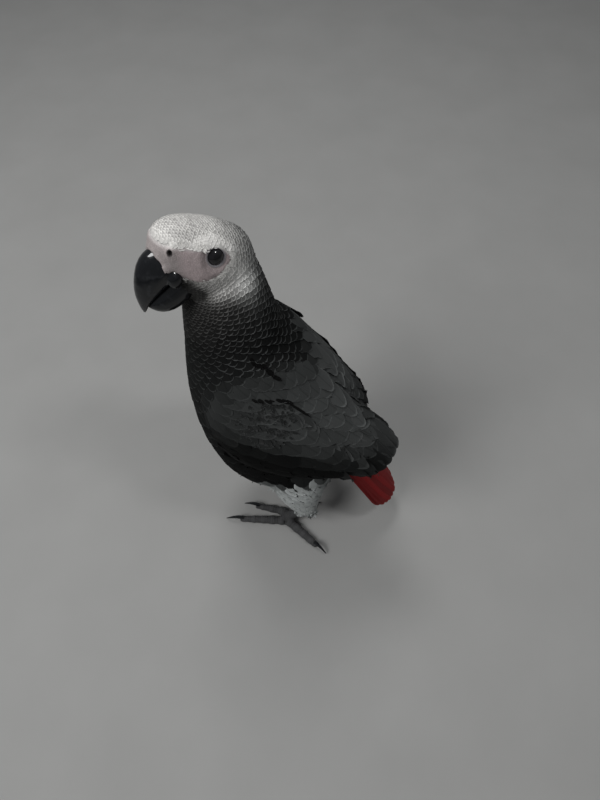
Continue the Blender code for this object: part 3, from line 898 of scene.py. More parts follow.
def grid_faces(count, rows, columns):
    """Quads of many equal grids, numbered one after another."""
    j, k = np.meshgrid(np.arange(rows - 1), np.arange(columns - 1), indexing="ij")
    first = (j * columns + k).ravel()
    one = np.column_stack([first, first + 1, first + columns + 1, first + columns])
    return (one[None] + (np.arange(count) * rows * columns)[:, None, None]).reshape(-1, 4)


def feather_mesh(name, lays, unwrap, low, high, patch, material):
    """One mesh of several lays of vanes. A lay is (points, across, rows, middle, margin, margin's width)."""
    blocks, faces, vane, bake, luck, middles, margins, edges = [], [], [], [], [], [], [], []
    base = 0
    roots = np.vstack([co[:, 0, co.shape[2] // 2] for co, *_ in lays])
    places = separate(bake_places(unwrap(roots, low, high)), patch)
    start = 0
    for co, across, rows, middle, margin, edge in lays:
        count, high_rows, columns = co.shape[:3]
        faces.append(grid_faces(count, high_rows, columns) + base)
        blocks.append(co.reshape(-1, 3))
        base += count * high_rows * columns
        u, v = np.meshgrid(across * 0.5 + 0.5, rows)
        own = np.stack([u, v], axis=-1).reshape(1, -1, 2).repeat(count, axis=0)
        vane.append(own.reshape(-1, 2))
        here = places[start:start + count][:, None] + (own - 0.5) * patch
        bake.append(here.reshape(-1, 2))
        start += count
        per_vane = high_rows * columns
        luck.append(rng.random(count).repeat(per_vane))
        middles.append(middle.repeat(per_vane, axis=0))
        margins.append(margin.repeat(per_vane, axis=0))
        edges.append(edge.repeat(per_vane))
    points, quads = np.vstack(blocks), np.vstack(faces)
    mesh = bpy.data.meshes.new(name)
    mesh.from_pydata(points * MM, [], quads)
    for layer, values in (("OFBake", np.vstack(bake)), ("Vane", np.vstack(vane))):
        uv = mesh.uv_layers.new(name=layer)
        uv.data.foreach_set("uv", values[quads.ravel()].astype(np.float32).ravel())
    colours = {"Middle": np.vstack(middles), "Margin": np.vstack(margins)}
    for layer, values in colours.items():
        attribute = mesh.attributes.new(layer, "FLOAT_COLOR", "POINT")
        attribute.data.foreach_set("color", np.column_stack([values, np.ones(len(values))]).ravel())
    for layer, values in (("Luck", luck), ("Edge", edges)):
        attribute = mesh.attributes.new(layer, "FLOAT", "POINT")
        attribute.data.foreach_set("value", np.concatenate(values))
    mesh.shade_smooth()
    mesh.materials.append(material)
    item = new_object(name, mesh)
    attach(item, BODY)
    print(f"{name}: {len(roots)} feathers, {2 * len(quads)} triangles")
    return item


# %% [markdown]
# ## Finishes as node groups
# Barbs, pale margins and pebbled skin are each a node group, built once and placed in the materials
# that use them with their own values. The groups put out only masks, colours and heights, and the
# shader stays in the material.

# %% Node helpers
def add(tree, kind, **settings):
    node = tree.nodes.new(kind)
    for key, value in settings.items():
        setattr(node, key, value)
    return node


def feed(tree, socket, value):
    if isinstance(value, bpy.types.NodeSocket):
        tree.links.new(value, socket)
    else:
        socket.default_value = value


def made(tree, kind, values, **settings):
    """A node with these values in its first sockets; gives its first output."""
    node = add(tree, kind, **settings)
    for socket, value in zip(node.inputs, values):
        feed(tree, socket, value)
    return node.outputs[0]


def calc(tree, operation, *values):
    return made(tree, "ShaderNodeMath", values, operation=operation)


def grey_of(tree, level):
    return made(tree, "ShaderNodeCombineColor", (level, level, level))


def smooth_mask(tree, value, low, high):
    node = add(tree, "ShaderNodeMapRange", interpolation_type="SMOOTHSTEP")
    for key, number in (("Value", value), ("From Min", low), ("From Max", high)):
        feed(tree, node.inputs[key], number)
    return node.outputs["Result"]


def mix_colours(tree, mask, first, second, blend="MIX"):
    node = add(tree, "ShaderNodeMix", data_type="RGBA", blend_type=blend)
    for number, value in ((0, mask), (6, first), (7, second)):
        feed(tree, node.inputs[number], value)
    return node.outputs[2]


def noise(tree, vector, scale, detail=2.0):
    node = add(tree, "ShaderNodeTexNoise")
    feed(tree, node.inputs["Vector"], vector)
    feed(tree, node.inputs["Scale"], scale)
    feed(tree, node.inputs["Detail"], detail)
    return node.outputs["Fac"]


def new_group(name, inputs, outputs):
    tree = bpy.data.node_groups.new(name, "ShaderNodeTree")
    kinds = {"v": "NodeSocketVector", "f": "NodeSocketFloat", "c": "NodeSocketColor"}
    for key, kind in inputs:
        tree.interface.new_socket(key, in_out="INPUT", socket_type=kinds[kind])
    for key, kind in outputs:
        tree.interface.new_socket(key, in_out="OUTPUT", socket_type=kinds[kind])
    return tree, add(tree, "NodeGroupInput"), add(tree, "NodeGroupOutput")


def place_group(tree, group, **values):
    node = add(tree, "ShaderNodeGroup", node_tree=group)
    for key, value in values.items():
        feed(tree, node.inputs[key.replace("_", " ")], value)
    return node.outputs


# %% Groups for feathers
def off_shaft(tree, vane):
    """The vane's own x, 0 on the shaft to 1 at the side edges, and along from quill to tip."""
    parts = add(tree, "ShaderNodeSeparateXYZ")
    feed(tree, parts.inputs[0], vane)
    across = calc(tree, "ABSOLUTE", calc(tree, "MULTIPLY_ADD", parts.outputs[0], 2.0, -1.0))
    return parts.outputs[0], across, parts.outputs[1]


def own_noise(tree, values, stretch, scale):
    """Noise over a vane that differs from one vane to the next by its luck."""
    spread = [calc(tree, "MULTIPLY", value, by) for value, by in zip(values, stretch)]
    return noise(tree, made(tree, "ShaderNodeCombineXYZ", spread), scale)


def barbs_group():
    inputs = [("Vane", "v"), ("Count", "f"), ("Slant", "f"), ("Luck", "f")]
    tree, given, out = new_group("Feather barbs", inputs, [("Lines", "f"), ("Shaft", "f")])
    x, across, along = off_shaft(tree, given.outputs["Vane"])
    uneven = own_noise(tree, (x, along, given.outputs["Luck"]), (5.0, 4.0, 37.0), 1.6)
    wander = calc(tree, "MULTIPLY_ADD", uneven, 5.0, -2.5)
    run = calc(tree, "SUBTRACT", calc(tree, "MULTIPLY", along, given.outputs["Count"]),
               calc(tree, "MULTIPLY", across, given.outputs["Slant"]))
    wave = calc(tree, "SINE", calc(tree, "ADD", calc(tree, "MULTIPLY", run, 2 * math.pi), wander))
    feed(tree, out.inputs["Lines"], calc(tree, "MULTIPLY_ADD", wave, 0.5, 0.5))
    feed(tree, out.inputs["Shaft"], smooth_mask(tree, across, 0.10, 0.0))
    return tree


def margin_group():
    inputs = [("Vane", "v"), ("Width", "f"), ("Luck", "f")]
    tree, given, out = new_group("Feather margin", inputs, [("Mask", "f")])
    x, across, along = off_shaft(tree, given.outputs["Vane"])
    uneven = own_noise(tree, (x, along, given.outputs["Luck"]), (7.0, 2.0, 53.0), 2.2)
    band = calc(tree, "MULTIPLY", given.outputs["Width"], calc(tree, "MULTIPLY_ADD", uneven, 0.7, 0.65))
    from_tip = calc(tree, "SUBTRACT", 1.0, along)
    from_side = calc(tree, "MULTIPLY", calc(tree, "SUBTRACT", 1.0, across), 1.3)
    nearest = calc(tree, "DIVIDE", calc(tree, "MINIMUM", from_tip, from_side), band)
    feed(tree, out.inputs["Mask"], smooth_mask(tree, nearest, 1.0, 0.25))
    return tree


def plume_group():
    inputs = [("Middle", "c"), ("Margin", "c"), ("Mask", "f"), ("Lines", "f"), ("Shaft", "f"), ("Luck", "f"),
              ("Contrast", "f")]
    tree, given, out = new_group("Plume colour", inputs, [("Colour", "c")])
    mixed = mix_colours(tree, given.outputs["Mask"], given.outputs["Middle"], given.outputs["Margin"])
    lined = calc(tree, "MULTIPLY", given.outputs["Lines"], given.outputs["Contrast"])
    shade = calc(tree, "SUBTRACT", calc(tree, "MULTIPLY_ADD", given.outputs["Luck"], 0.22, 0.93), lined)
    shade = calc(tree, "SUBTRACT", shade, calc(tree, "MULTIPLY", given.outputs["Shaft"], 0.18))
    feed(tree, out.inputs["Colour"], mix_colours(tree, 1.0, mixed, grey_of(tree, shade), "MULTIPLY"))
    return tree


BARBS, MARGIN, PLUME = barbs_group(), margin_group(), plume_group()


def plain_material(name, roughness, **constants):
    """A material with its Principled shader; constants are that shader's own sockets."""
    material = bpy.data.materials.new(name)
    material.use_nodes = True
    tree = material.node_tree
    shader = tree.nodes["Principled BSDF"]
    shader.inputs["Roughness"].default_value = roughness
    for key, value in constants.items():
        shader.inputs[key.replace("_", " ")].default_value = value
    return material, tree, shader


def attribute(tree, name, output="Color"):
    return add(tree, "ShaderNodeAttribute", attribute_name=name).outputs[output]


def bump(tree, shader, height, distance, strength=1.0):
    node = add(tree, "ShaderNodeBump")
    feed(tree, node.inputs["Height"], height)
    node.inputs["Distance"].default_value = distance
    node.inputs["Strength"].default_value = strength
    feed(tree, shader.inputs["Normal"], node.outputs[0])


def feather_material(name, count, slant, contrast, roughness, relief, sheen, gloss):
    material, tree, shader = plain_material(name, roughness, Sheen_Weight=sheen, Sheen_Roughness=0.45,
                                            Specular_IOR_Level=gloss)
    vane = add(tree, "ShaderNodeUVMap", uv_map="Vane").outputs[0]
    luck = attribute(tree, "Luck", "Fac")
    barbs = place_group(tree, BARBS, Vane=vane, Count=count, Slant=slant, Luck=luck)
    edge = place_group(tree, MARGIN, Vane=vane, Width=attribute(tree, "Edge", "Fac"), Luck=luck)
    colour = place_group(tree, PLUME, Middle=attribute(tree, "Middle"), Margin=attribute(tree, "Margin"),
                         Mask=edge["Mask"], Lines=barbs["Lines"], Shaft=barbs["Shaft"], Luck=luck,
                         Contrast=contrast)
    feed(tree, shader.inputs["Base Color"], colour["Colour"])
    height = calc(tree, "ADD", barbs["Lines"], calc(tree, "MULTIPLY", barbs["Shaft"], 1.5))
    bump(tree, shader, height, relief * MM)
    return material


HEAD_FEATHER = feather_material("scaly head feather", 5.0, 1.2, 0.06, 0.8, 0.02, 0.0, 0.15)
BODY_FEATHER = feather_material("contour feather", 16.0, 5.0, 0.14, 0.78, 0.04, 0.0, 0.05)
COVERT_FEATHER = feather_material("wing covert", 20.0, 6.0, 0.12, 0.74, 0.03, 0.0, 0.06)
SOFT_FEATHER = feather_material("loose downy feather", 9.0, 3.0, 0.14, 0.9, 0.04, 0.10, 0.05)
FLIGHT_FEATHER = feather_material("flight feather", 60.0, 9.0, 0.12, 0.62, 0.04, 0.0, 0.10)
print("node groups:", [g.name for g in bpy.data.node_groups])

# %% [markdown]
# ## The coat
# Regions follow the bird's own tracts. Each takes the roots of the rows that cross it, and the table
# of row gaps gives the spacing: about one millimetre by the bill, five on the body, eight on the wing.

# %% Regions
def open_faces():
    """Faces that are not deep in a crevice."""
    seen = np.ones(len(form_corners))
    for i, (middle, normal) in enumerate(zip(form_face_middles, form_face_normals)):
        start = Vector(middle + 0.3 * normal)
        seen[i] = form_tree.ray_cast(start, Vector(normal), 3.5)[3] is None
    return seen > 0.5


face_far = from_bill(form_face_middles)
face_gap = row_gap(form_face_middles, face_wing, face_thigh)
face_ratio = np.interp(face_far, *zip(*ROW_RATIO))
face_open = open_faces()
feathered = (face_foot < 0.5) & (face_bill < 0.3) & (face_eye < 0.3) & (face_bare < 0.5) & face_open
feathered &= form_face_middles[:, 2] > 30.0
is_wing = face_wing > 0.5
COVERTS_END = -72.0
covert = form_face_middles @ unit(ALONG_WING) < COVERTS_END
is_thigh = (face_thigh > 0.5) & ~is_wing
is_head = (face_far < 50.0) & ~is_wing
is_neck = (face_far >= 50.0) & (face_far < 88.0) & ~is_wing
is_trunk = (face_far >= 88.0) & ~is_wing & ~is_thigh
left_half = form_face_middles[:, 0] > 0


def cover(name, chosen, material, slot, long=3.6, wide=1.5, low=(0, 0, 50), high=(0, 0, 260),
          unwrap=round_body, patch=0.004, **shape):
    """Take the roots of a region, lay its feathers and make its piece."""
    mine = (chosen & feathered)[root_faces]
    roots, normals, numbers = root_points[mine], root_normals[mine], root_faces[mine]
    gap = face_gap[numbers] * (1.0 - 0.45 * face_bare[numbers])
    width = gap * face_ratio[numbers] * wide
    length = gap * long * rng.uniform(0.96, 1.04, len(gap))
    ahead = lie(roots, normals, face_wing[numbers], face_thigh[numbers])
    over_bare = bare_skin(roots + ahead * length[:, None])
    length, width = length * (1.0 - 0.55 * over_bare), width * (1.0 - 0.3 * over_bare)
    co, across, rows = lay(roots, normals, numbers, length, width, **shape)
    seen = co[:, -2, co.shape[2] // 2]
    wing, thigh = face_wing[numbers], face_thigh[numbers]
    middle, margin = grey_levels(seen, step(0.1, 1.0, wing), step(0.3, 0.7, thigh))
    edge = np.interp(from_bill(seen), *zip(*MARGIN_WIDTH))
    edge = edge + wing * (WING_MARGIN - edge)
    edge = edge + thigh * (THIGH_MARGIN - edge)
    one_lay = (co, across, rows, tinted(middle, seen), tinted(margin, seen), edge)
    low, high = np.array(low, float), np.array(high, float)
    piece = feather_mesh(name, [one_lay], unwrap, low, high, patch, material)
    return piece


# %% Lay the coat
HEAD_LOW, HEAD_HIGH = from_head(np.array([[0, 30.0, 0], [0, -30.0, 0]]))
cover("head_coat", is_head, HEAD_FEATHER, "head", wide=1.75, low=HEAD_LOW, high=HEAD_HIGH, columns=7,
      fray=0.02, sink=0.45, camber=0.03, roll=0.015)
cover("neck_coat", is_neck, BODY_FEATHER, "neck", size="large", columns=9, patch=0.006)
cover("trunk_coat", is_trunk, BODY_FEATHER, "breast", size="large", columns=11, patch=0.008)
for side_name, side in SIDES.items():
    mine = left_half if side > 0 else ~left_half
    cover(side_name + "_wing_coat", is_wing & mine & covert, COVERT_FEATHER, "wing", size="large", columns=11,
          unwrap=flat_side, patch=0.01, round_tip=0.38, wide=1.35, roll=0.015, camber=0.02,
          sink=0.6, stray=0.07)
    cover(side_name + "_thigh_coat", is_thigh & mine, SOFT_FEATHER, "thigh", size="small", long=5.0, wide=1.9,
          columns=7, stray=0.14, fray=0.05, camber=0.03, sink=0.7, low=(side * 30, 0, 20),
          high=(side * 30, 0, 100), patch=0.008)

# %% Down at the border of the naked face
FACE_DOWN_COUNT = 1100
FACE_DOWN_OFF_EYE, FACE_DOWN_AHEAD = 7.5, 26.0


def face_down():
    """Tiny plumes that soften the border between the naked skin and the coat."""
    border = (face_bare > 0.02) & (face_bare < 0.97) & (face_bill < 0.2) & face_open
    border &= (eye_reach(form_face_middles) > FACE_DOWN_OFF_EYE)
    border &= (to_head(form_face_middles)[:, 1] > -FACE_DOWN_AHEAD)
    chosen = rng.choice(np.flatnonzero(border), FACE_DOWN_COUNT)
    spread = rng.normal(0.0, 0.45, (FACE_DOWN_COUNT, 3))
    roots, normals, numbers = on_form(form_face_middles[chosen] + spread)
    length = rng.uniform(1.3, 2.6, FACE_DOWN_COUNT)
    width = rng.uniform(0.45, 0.8, FACE_DOWN_COUNT)
    co, across, rows = lay(roots, normals, numbers, length, width, columns=3, tip=0.3, stray=0.45, sink=0.9,
                           lift=0.12, roll=0.0, camber=0.0, fray=0.03)
    seen = co[:, -2, 1]
    middle, margin = grey_levels(seen)
    return co, across, rows, tinted(middle, seen), tinted(margin, seen), np.full(FACE_DOWN_COUNT, 0.2)


piece = feather_mesh("face_down", [face_down()], round_body, HEAD_LOW, HEAD_HIGH, 0.003, HEAD_FEATHER)

# %% [markdown]
# ## Flight feathers and tail
# The long wing feathers lie side by side under the coverts and end in a blunt, uneven edge. The tail
# is a shallow fan of twelve. Each of these is wide enough to show its shaft and its fine barbs.

# %% Wing quills
# Heights, and how far back the wing's ragged end reaches there
WING_REAR = ((100.0, 40.0), (108.0, 64.0), (118.0, 72.0), (130.0, 69.0), (142.0, 56.0), (152.0, 44.0),
             (164.0, 31.0), (176.0, 19.0), (188.0, 9.0))
QUILL_LENGTH, QUILL_WIDTH = 58.0, 14.0
QUILL_COUNT, QUILL_TILT, WING_OUT = 11, 2.2, 60.0
STRAIGHT_FROM, STRAIGHTNESS = 4, 0.6
# Height of a quill's tip, and how much longer than the straight way it is
QUILL_REACH = ((100.0, 0.80), (112.0, 0.90), (125.0, 1.04), (190.0, 1.0))


def straighten(co, steps, length):
    """Let the last part of a vane stand off the form's end instead of bending round it."""
    shaft = co[:, :, co.shape[2] // 2].copy()
    heading = unit(shaft[:, STRAIGHT_FROM] - shaft[:, STRAIGHT_FROM - 2])
    for j in range(STRAIGHT_FROM + 1, len(steps)):
        straight = shaft[:, STRAIGHT_FROM] + heading * (length * (steps[j] - steps[STRAIGHT_FROM]))[:, None]
        co[:, j] += STRAIGHTNESS * (straight - shaft[:, j])[:, None]
    return co


def wing_quills(side_name, side):
    rows = np.array(WING_REAR)
    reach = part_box(side_name + "_wing")[1].y / MM / rows[:, 1].max()
    tips = np.column_stack([np.full(len(rows), side * WING_OUT), rows[:, 1] * reach, rows[:, 0]])
    fine = np.linspace(0.7, len(rows) - 1, QUILL_COUNT)
    tips = np.column_stack([np.interp(fine, np.arange(len(rows)), tips[:, i]) for i in range(3)])
    starts = tips - unit(ALONG_WING) * QUILL_LENGTH
    roots, normals, numbers = on_form(starts)
    count = len(roots)
    length = QUILL_LENGTH * np.interp(tips[:, 2], *zip(*QUILL_REACH)) * rng.uniform(0.97, 1.04, count)
    width = np.full(count, QUILL_WIDTH)
    co, across, steps = lay(roots, normals, numbers, length, width, size="large", columns=11, root=0.5,
                            tip=0.60, round_tip=0.35, fray=0.006, camber=0.04, stray=0.02, sink=0.9, rise=1.0)
    co = straighten(co, steps, length)
    tilt = np.linspace(0.5, -0.5, len(across))[None, None, :] * side
    co = co + (tilt[..., None] * normals[:, None, None, :]) * QUILL_TILT
    seen = co[:, -3, len(across) // 2]
    # Painted shade: the lower quills are darker.
    level = (0.006 + 0.020 * step(108.0, 140.0, seen[:, 2])) * rng.uniform(0.85, 1.15, count)
    return co, across, steps, tinted(level, seen), tinted(1.9 * level, seen), np.full(count, 0.06)


# Where the left wing's inner edge lies on the back, from the shoulder to the rear
INNER_EDGE_TOP, INNER_EDGE_END = np.array([-4.0, 0.0, 197.0]), np.array([9.0, 47.0, 149.0])
TERTIAL_STARTS = (0.0, 0.16, 0.32, 0.48)
# Roots of the feathers that end the left wing, from its inner edge outward
REAR_STARTS = np.linspace((11.0, 46.0, 151.0), (28.0, 44.0, 143.0), 4)


def inner_starts(columns):
    """Roots along a wing's inner edge, in columns at these distances from it."""
    along = INNER_EDGE_END - INNER_EDGE_TOP
    return np.array([INNER_EDGE_TOP + along * t + np.array([place, 0.0, 0.0])
                     for place in columns for t in TERTIAL_STARTS])


def tertials(starts, length, width, lift):
    """Long smooth feathers that run parallel to the wing's inner edge."""
    roots, normals, numbers = on_form(starts)
    count = len(roots)
    length = length * rng.uniform(0.95, 1.06, count)
    width = np.full(count, width)
    co, across, steps = lay(roots, normals, numbers, length, width, size="large", columns=11,
                            root=0.6, tip=0.75, round_tip=0.5, fray=0.004, camber=0.015, stray=0.02, sink=0.6,
                            roll=-0.05, lift=lift, toward=unit(INNER_EDGE_END - INNER_EDGE_TOP)[None])
    co = straighten(co, steps, length)
    seen = co[:, -3, len(across) // 2]
    middle, margin = grey_levels(seen, np.ones(count))
    return co, across, steps, tinted(middle, seen), tinted(1.25 * margin, seen), np.full(count, 0.06)


for side_name, side in SIDES.items():
    lays = [wing_quills(side_name, side)]
    if side > 0:
        lays.append(tertials(inner_starts((7.0,)), 36.0, 14.0, 1.3))
        lays.append(tertials(REAR_STARTS, 33.0, 10.5, 1.2))
    else:
        lays.append(tertials(inner_starts((-7.5, -17.0)), 36.0, 14.0, 0.7))
    piece = feather_mesh(side_name + "_wing_quills", lays, flat_side, None, None, 0.03, FLIGHT_FEATHER)

# %% Loose side feathers and painted shadows where the coat parts
FLUFF_MIDDLE, FLUFF_REACH, FLUFF_COUNT = np.array([41.0, -17.0, 174.0]), 19.0, 190
# Lines on the left wing where the coat parts: first and last root, plumes, their length and width
PARTING_LINES = (
    ((23, -24, 212), (26, -11, 204), 5, 6.5, 2.6),
    ((38, -21, 193), (32, -1, 188), 7, 6.0, 2.3),
    ((32, 0, 185), (32, 0, 185), 1, 24.0, 1.7),
)
# Colour of the painted shadow vanes along the partings, and how far they stand above the form
PARTING_BLACK, PARTING_PROUD = 0.0015, 0.12


def side_fluff(side):
    """Loose dark down where the wing meets the breast."""
    near = within(on_side(form_face_middles, side), FLUFF_MIDDLE, FLUFF_REACH)
    chosen = rng.choice(np.flatnonzero(near), FLUFF_COUNT, replace=False)
    roots, normals, numbers = on_form(form_face_middles[chosen])
    length = rng.uniform(6.0, 9.0, FLUFF_COUNT)
    width = rng.uniform(1.6, 2.8, FLUFF_COUNT)
    co, across, rows = lay(roots, normals, numbers, length, width, columns=5, tip=0.5, fray=0.05, stray=0.28,
                           sink=0.3, lift=0.25, roll=0.0)
    level = rng.uniform(0.7, 1.25, FLUFF_COUNT)
    seen = co[:, -2, 2]
    middle, margin = tinted(0.014 * level, seen), tinted(0.036 * level, seen)
    return co, across, rows, middle, margin, np.full(FLUFF_COUNT, 0.15)


def parting_shadow_vanes():
    """Near-black vanes along each line where the coat parts, drawn unevenly: painted shadow in the gaps
    between the feathers.
    """
    places, lengths, widths_of = [], [], []
    for first, last, count, length, width in PARTING_LINES:
        places.append(np.linspace(first, last, count) + rng.normal(0.0, 0.4, (count, 3)))
        lengths.append(length * rng.uniform(0.75, 1.2, count))
        widths_of.append(width * rng.uniform(0.85, 1.15, count))
    roots, normals, numbers = on_form(np.vstack(places))
    count = len(roots)
    length, width = np.concatenate(lengths), np.concatenate(widths_of)
    co, across, rows = lay(roots, normals, numbers, length, width, columns=5, root=0.5, tip=0.3, fray=0.05,
                           camber=0.0, stray=0.12, sink=0.0, lift=0.25, roll=0.0)
    dark = np.full((count, 3), PARTING_BLACK)
    return co + PARTING_PROUD * normals[:, None, None], across, rows, dark, dark, np.full(count, 0.05)


for side_name, side in SIDES.items():
    piece = feather_mesh(side_name + "_side_fluff", [side_fluff(side)], flat_side, None, None, 0.01,
                         SOFT_FEATHER)
# The partings are painted shadow: near-black vanes where the coat parts.
piece = feather_mesh("left_parting_shadows", [parting_shadow_vanes()], flat_side, None, None, 0.03, SOFT_FEATHER)

# %% Tail
TAIL_FEATHERS, TAIL_HALF_WIDTH, TAIL_SPREAD, TAIL_FAN = 12, 6.4, 11.5, 0.125
TAIL_LAYERS, TAIL_ROOF = 2.2, 5.0
CRIMSON, CRIMSON_EDGE = np.array([0.155, 0.0035, 0.004]), np.array([0.18, 0.006, 0.006])
tail_low, tail_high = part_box("tail")
TAIL_TOP = np.array([0.0, (tail_low.y + 0.004) / MM, 88.0])
TAIL_END = np.array([0.0, (tail_high.y - 0.0015) / MM, tail_low.z / MM + 1.0])


def tail_vanes():
    """Twelve long vanes in a shallow roof, the middle pair outermost."""
    rows, across = np.linspace(0.0, 1.0, 13), np.linspace(-1.0, 1.0, 11)
    along = unit(TAIL_END - TAIL_TOP)
    wide = np.array([1.0, 0.0, 0.0])
    out = np.cross(wide, along)
    out = out if out[1] > 0 else -out
    length = np.linalg.norm(TAIL_END - TAIL_TOP)
    co = np.empty((TAIL_FEATHERS, len(rows), len(across), 3))
    for n in range(TAIL_FEATHERS):
        place = (n + 0.5) / TAIL_FEATHERS * 2.0 - 1.0
        own = length * (1.0 - 0.17 * abs(place)**2.2) * rng.uniform(0.99, 1.0)
        lean = TAIL_FAN * place + rng.normal(0.0, 0.008)
        layer = TAIL_LAYERS * (1.0 - abs(place))
        for j, t in enumerate(rows):
            half = TAIL_HALF_WIDTH * (0.55 + 0.45 * min(1.0, t / 0.3))
            half *= 1.0 - 0.38 * max(0.0, (t - 0.75) / 0.25)**2
            start = TAIL_TOP + wide * (TAIL_SPREAD * place)
            for k, u in enumerate(across):
                down = own * t * math.cos(lean)
                sideways = own * t * math.sin(lean) + u * half
                back = 5.5 * abs(u)**2.4 * t**6 + rng.normal(0.0, 0.10) * (t > 0.97)
                roof = layer - TAIL_ROOF * place**2 * (0.35 + 0.65 * t)
                roof -= 0.9 * u * u + 0.45 * u * np.sign(place)
                arch = -5.0 * (1.0 - t)**1.5 - 1.0 * t
                co[n, j, k] = start + along * (down - back) + wide * sideways + out * (roof + arch)
    return co, across, rows


tail_co, tail_across, tail_rows = tail_vanes()
tail_middle = np.tile(CRIMSON, (TAIL_FEATHERS, 1)) * rng.uniform(0.8, 1.1, (TAIL_FEATHERS, 1))
tail_margin = np.tile(CRIMSON_EDGE, (TAIL_FEATHERS, 1))
TAIL_FEATHER = feather_material("crimson tail feather", 70.0, 8.0, 0.22, 0.6, 0.05, 0.0, 0.25)
tail_lay = (tail_co, tail_across, tail_rows, tail_middle, tail_margin, np.full(TAIL_FEATHERS, 0.05))
tail = feather_mesh("tail_feathers", [tail_lay], lambda points, low, high: points[:, [0, 2]], None, None,
                    0.07, TAIL_FEATHER)
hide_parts("tail")

# %% [markdown]
# ## Skin finish
# Bare skin on the face is a dull pinkish grey with fine pebbles and wrinkles. The feet are dark and
# scaly. Where feathers grow, the skin takes the colour of the feathers' middles, so no gap shines.

# %% Skin colours and material
BARE_PINK = np.array([0.345, 0.29, 0.29])
EYE_RIM_GREY = np.array([0.19, 0.19, 0.205])
CERE_PALE = np.array([0.28, 0.25, 0.245])
FOOT_GREY = np.array([0.040, 0.040, 0.041])
NOSTRIL_DARK = np.array([0.035, 0.030, 0.030])
BROW_PALE = np.array([0.60, 0.57, 0.56])
GAPE_BLACK = 0.02


def paint_skin():
    middle, margin = grey_levels(form_points, step(0.3, 0.7, on_wing), step(0.3, 0.7, on_thigh))
    pale = step(60.0, 35.0, from_bill(form_points))
    colour = tinted((0.7 - 0.2 * pale) * middle + 0.35 * pale * margin, form_points)
    out, ahead, up = folded(form_points)
    cere = step(20.0, 27.0, ahead)[:, None]
    face = BARE_PINK + cere * (CERE_PALE - BARE_PINK)
    mottle = 1.0 + 0.10 * noise_waves(form_points, 4.0, 8) + 0.08 * noise_waves(form_points, 1.6, 9)
    face = face * mottle[:, None]
    under_brow = step(2.6, 0.2, np.interp(ahead, *zip(*BARE_TOP)) - up)[:, None]
    face = face + 0.6 * under_brow * (BROW_PALE - face)
    rim = step(LID_OPENING + 1.6, LID_OPENING + 0.5, eye_reach(form_points))[:, None]
    face = face + 0.8 * rim * (EYE_RIM_GREY - face)
    from_nostril = [out - NOSTRIL[0], ahead + NOSTRIL[1], 0.75 * (up - NOSTRIL[2])]
    hole = np.linalg.norm(np.column_stack(from_nostril), axis=1)
    halo = np.exp(-((hole - 2.4) / 0.6)**2)[:, None]
    face = face * (1.0 + 0.15 * halo)
    # Painted shade: the nostril holes are darkened.
    face = face + step(1.9, 1.1, hole)[:, None] * (NOSTRIL_DARK - face)
    gape = np.clip(1.3 * blob(form_points, (13.0, 21.5, -5.0), (3.0, 2.6, 4.0)), 0, 1)[:, None]
    face = face + gape * (GAPE_BLACK - face)
    colour = colour + form_bare[:, None] * (face - colour)
    # Painted highlight and shade: the feet are lighter where scutes and knuckles stand up and darker in the
    # grooves and on the soles.
    foot = FOOT_GREY * (0.75 + 1.1 * np.clip(form_relief, 0.0, 0.5))[:, None]
    return colour + on_foot[:, None] * (foot - colour)


def pebble_group():
    inputs, outputs = [("Scale", "f"), ("Depth", "f")], [("Shade", "f"), ("Height", "f")]
    tree, given, out = new_group("Pebbled skin", inputs, outputs)
    place = add(tree, "ShaderNodeTexCoord").outputs["Object"]
    cells = add(tree, "ShaderNodeTexVoronoi", feature="DISTANCE_TO_EDGE")
    feed(tree, cells.inputs["Vector"], place)
    feed(tree, cells.inputs["Scale"], given.outputs["Scale"])
    edge = smooth_mask(tree, cells.outputs["Distance"], 0.0, 0.22)
    fine = noise(tree, place, calc(tree, "MULTIPLY", given.outputs["Scale"], 2.5), 3.0)
    depth = given.outputs["Depth"]
    # Painted shade: the cells' edges, which are the low grooves of the bump, are darker.
    shade = calc(tree, "MULTIPLY_ADD", edge, depth, calc(tree, "SUBTRACT", 1.0, depth))
    feed(tree, out.inputs["Shade"], shade)
    feed(tree, out.inputs["Height"], calc(tree, "MULTIPLY_ADD", fine, 0.4, edge))
    return tree


PEBBLES = pebble_group()


def skin_material():
    material, tree, shader = plain_material("bare skin", 0.58, Specular_IOR_Level=0.35)
    pebble = place_group(tree, PEBBLES, Scale=1500.0, Depth=0.25)
    colour = mix_colours(tree, 1.0, attribute(tree, "Flesh"), grey_of(tree, pebble["Shade"]), "MULTIPLY")
    feed(tree, shader.inputs["Base Color"], colour)
    bump(tree, shader, pebble["Height"], 0.10 * MM, 0.8)
    return material


flesh = skin.data.attributes.new("Flesh", "FLOAT_COLOR", "POINT")
flesh.data.foreach_set("color", np.column_stack([paint_skin(), np.ones(len(form_points))]).ravel())
skin.data.materials.clear()
skin.data.materials.append(skin_material())
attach(skin, BODY)
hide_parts(*FLESH)

# %% [markdown]
# ## Eyes
# A young bird's eye is dark all over: a black pupil in a deep brown-grey iris under a wet, bulging
# cornea. It is a ball with a slight bulge where it looks out, and a clear coat for the wet shine.

# %% Eyes
PUPIL_REACH, IRIS_REACH = 0.34, 0.80


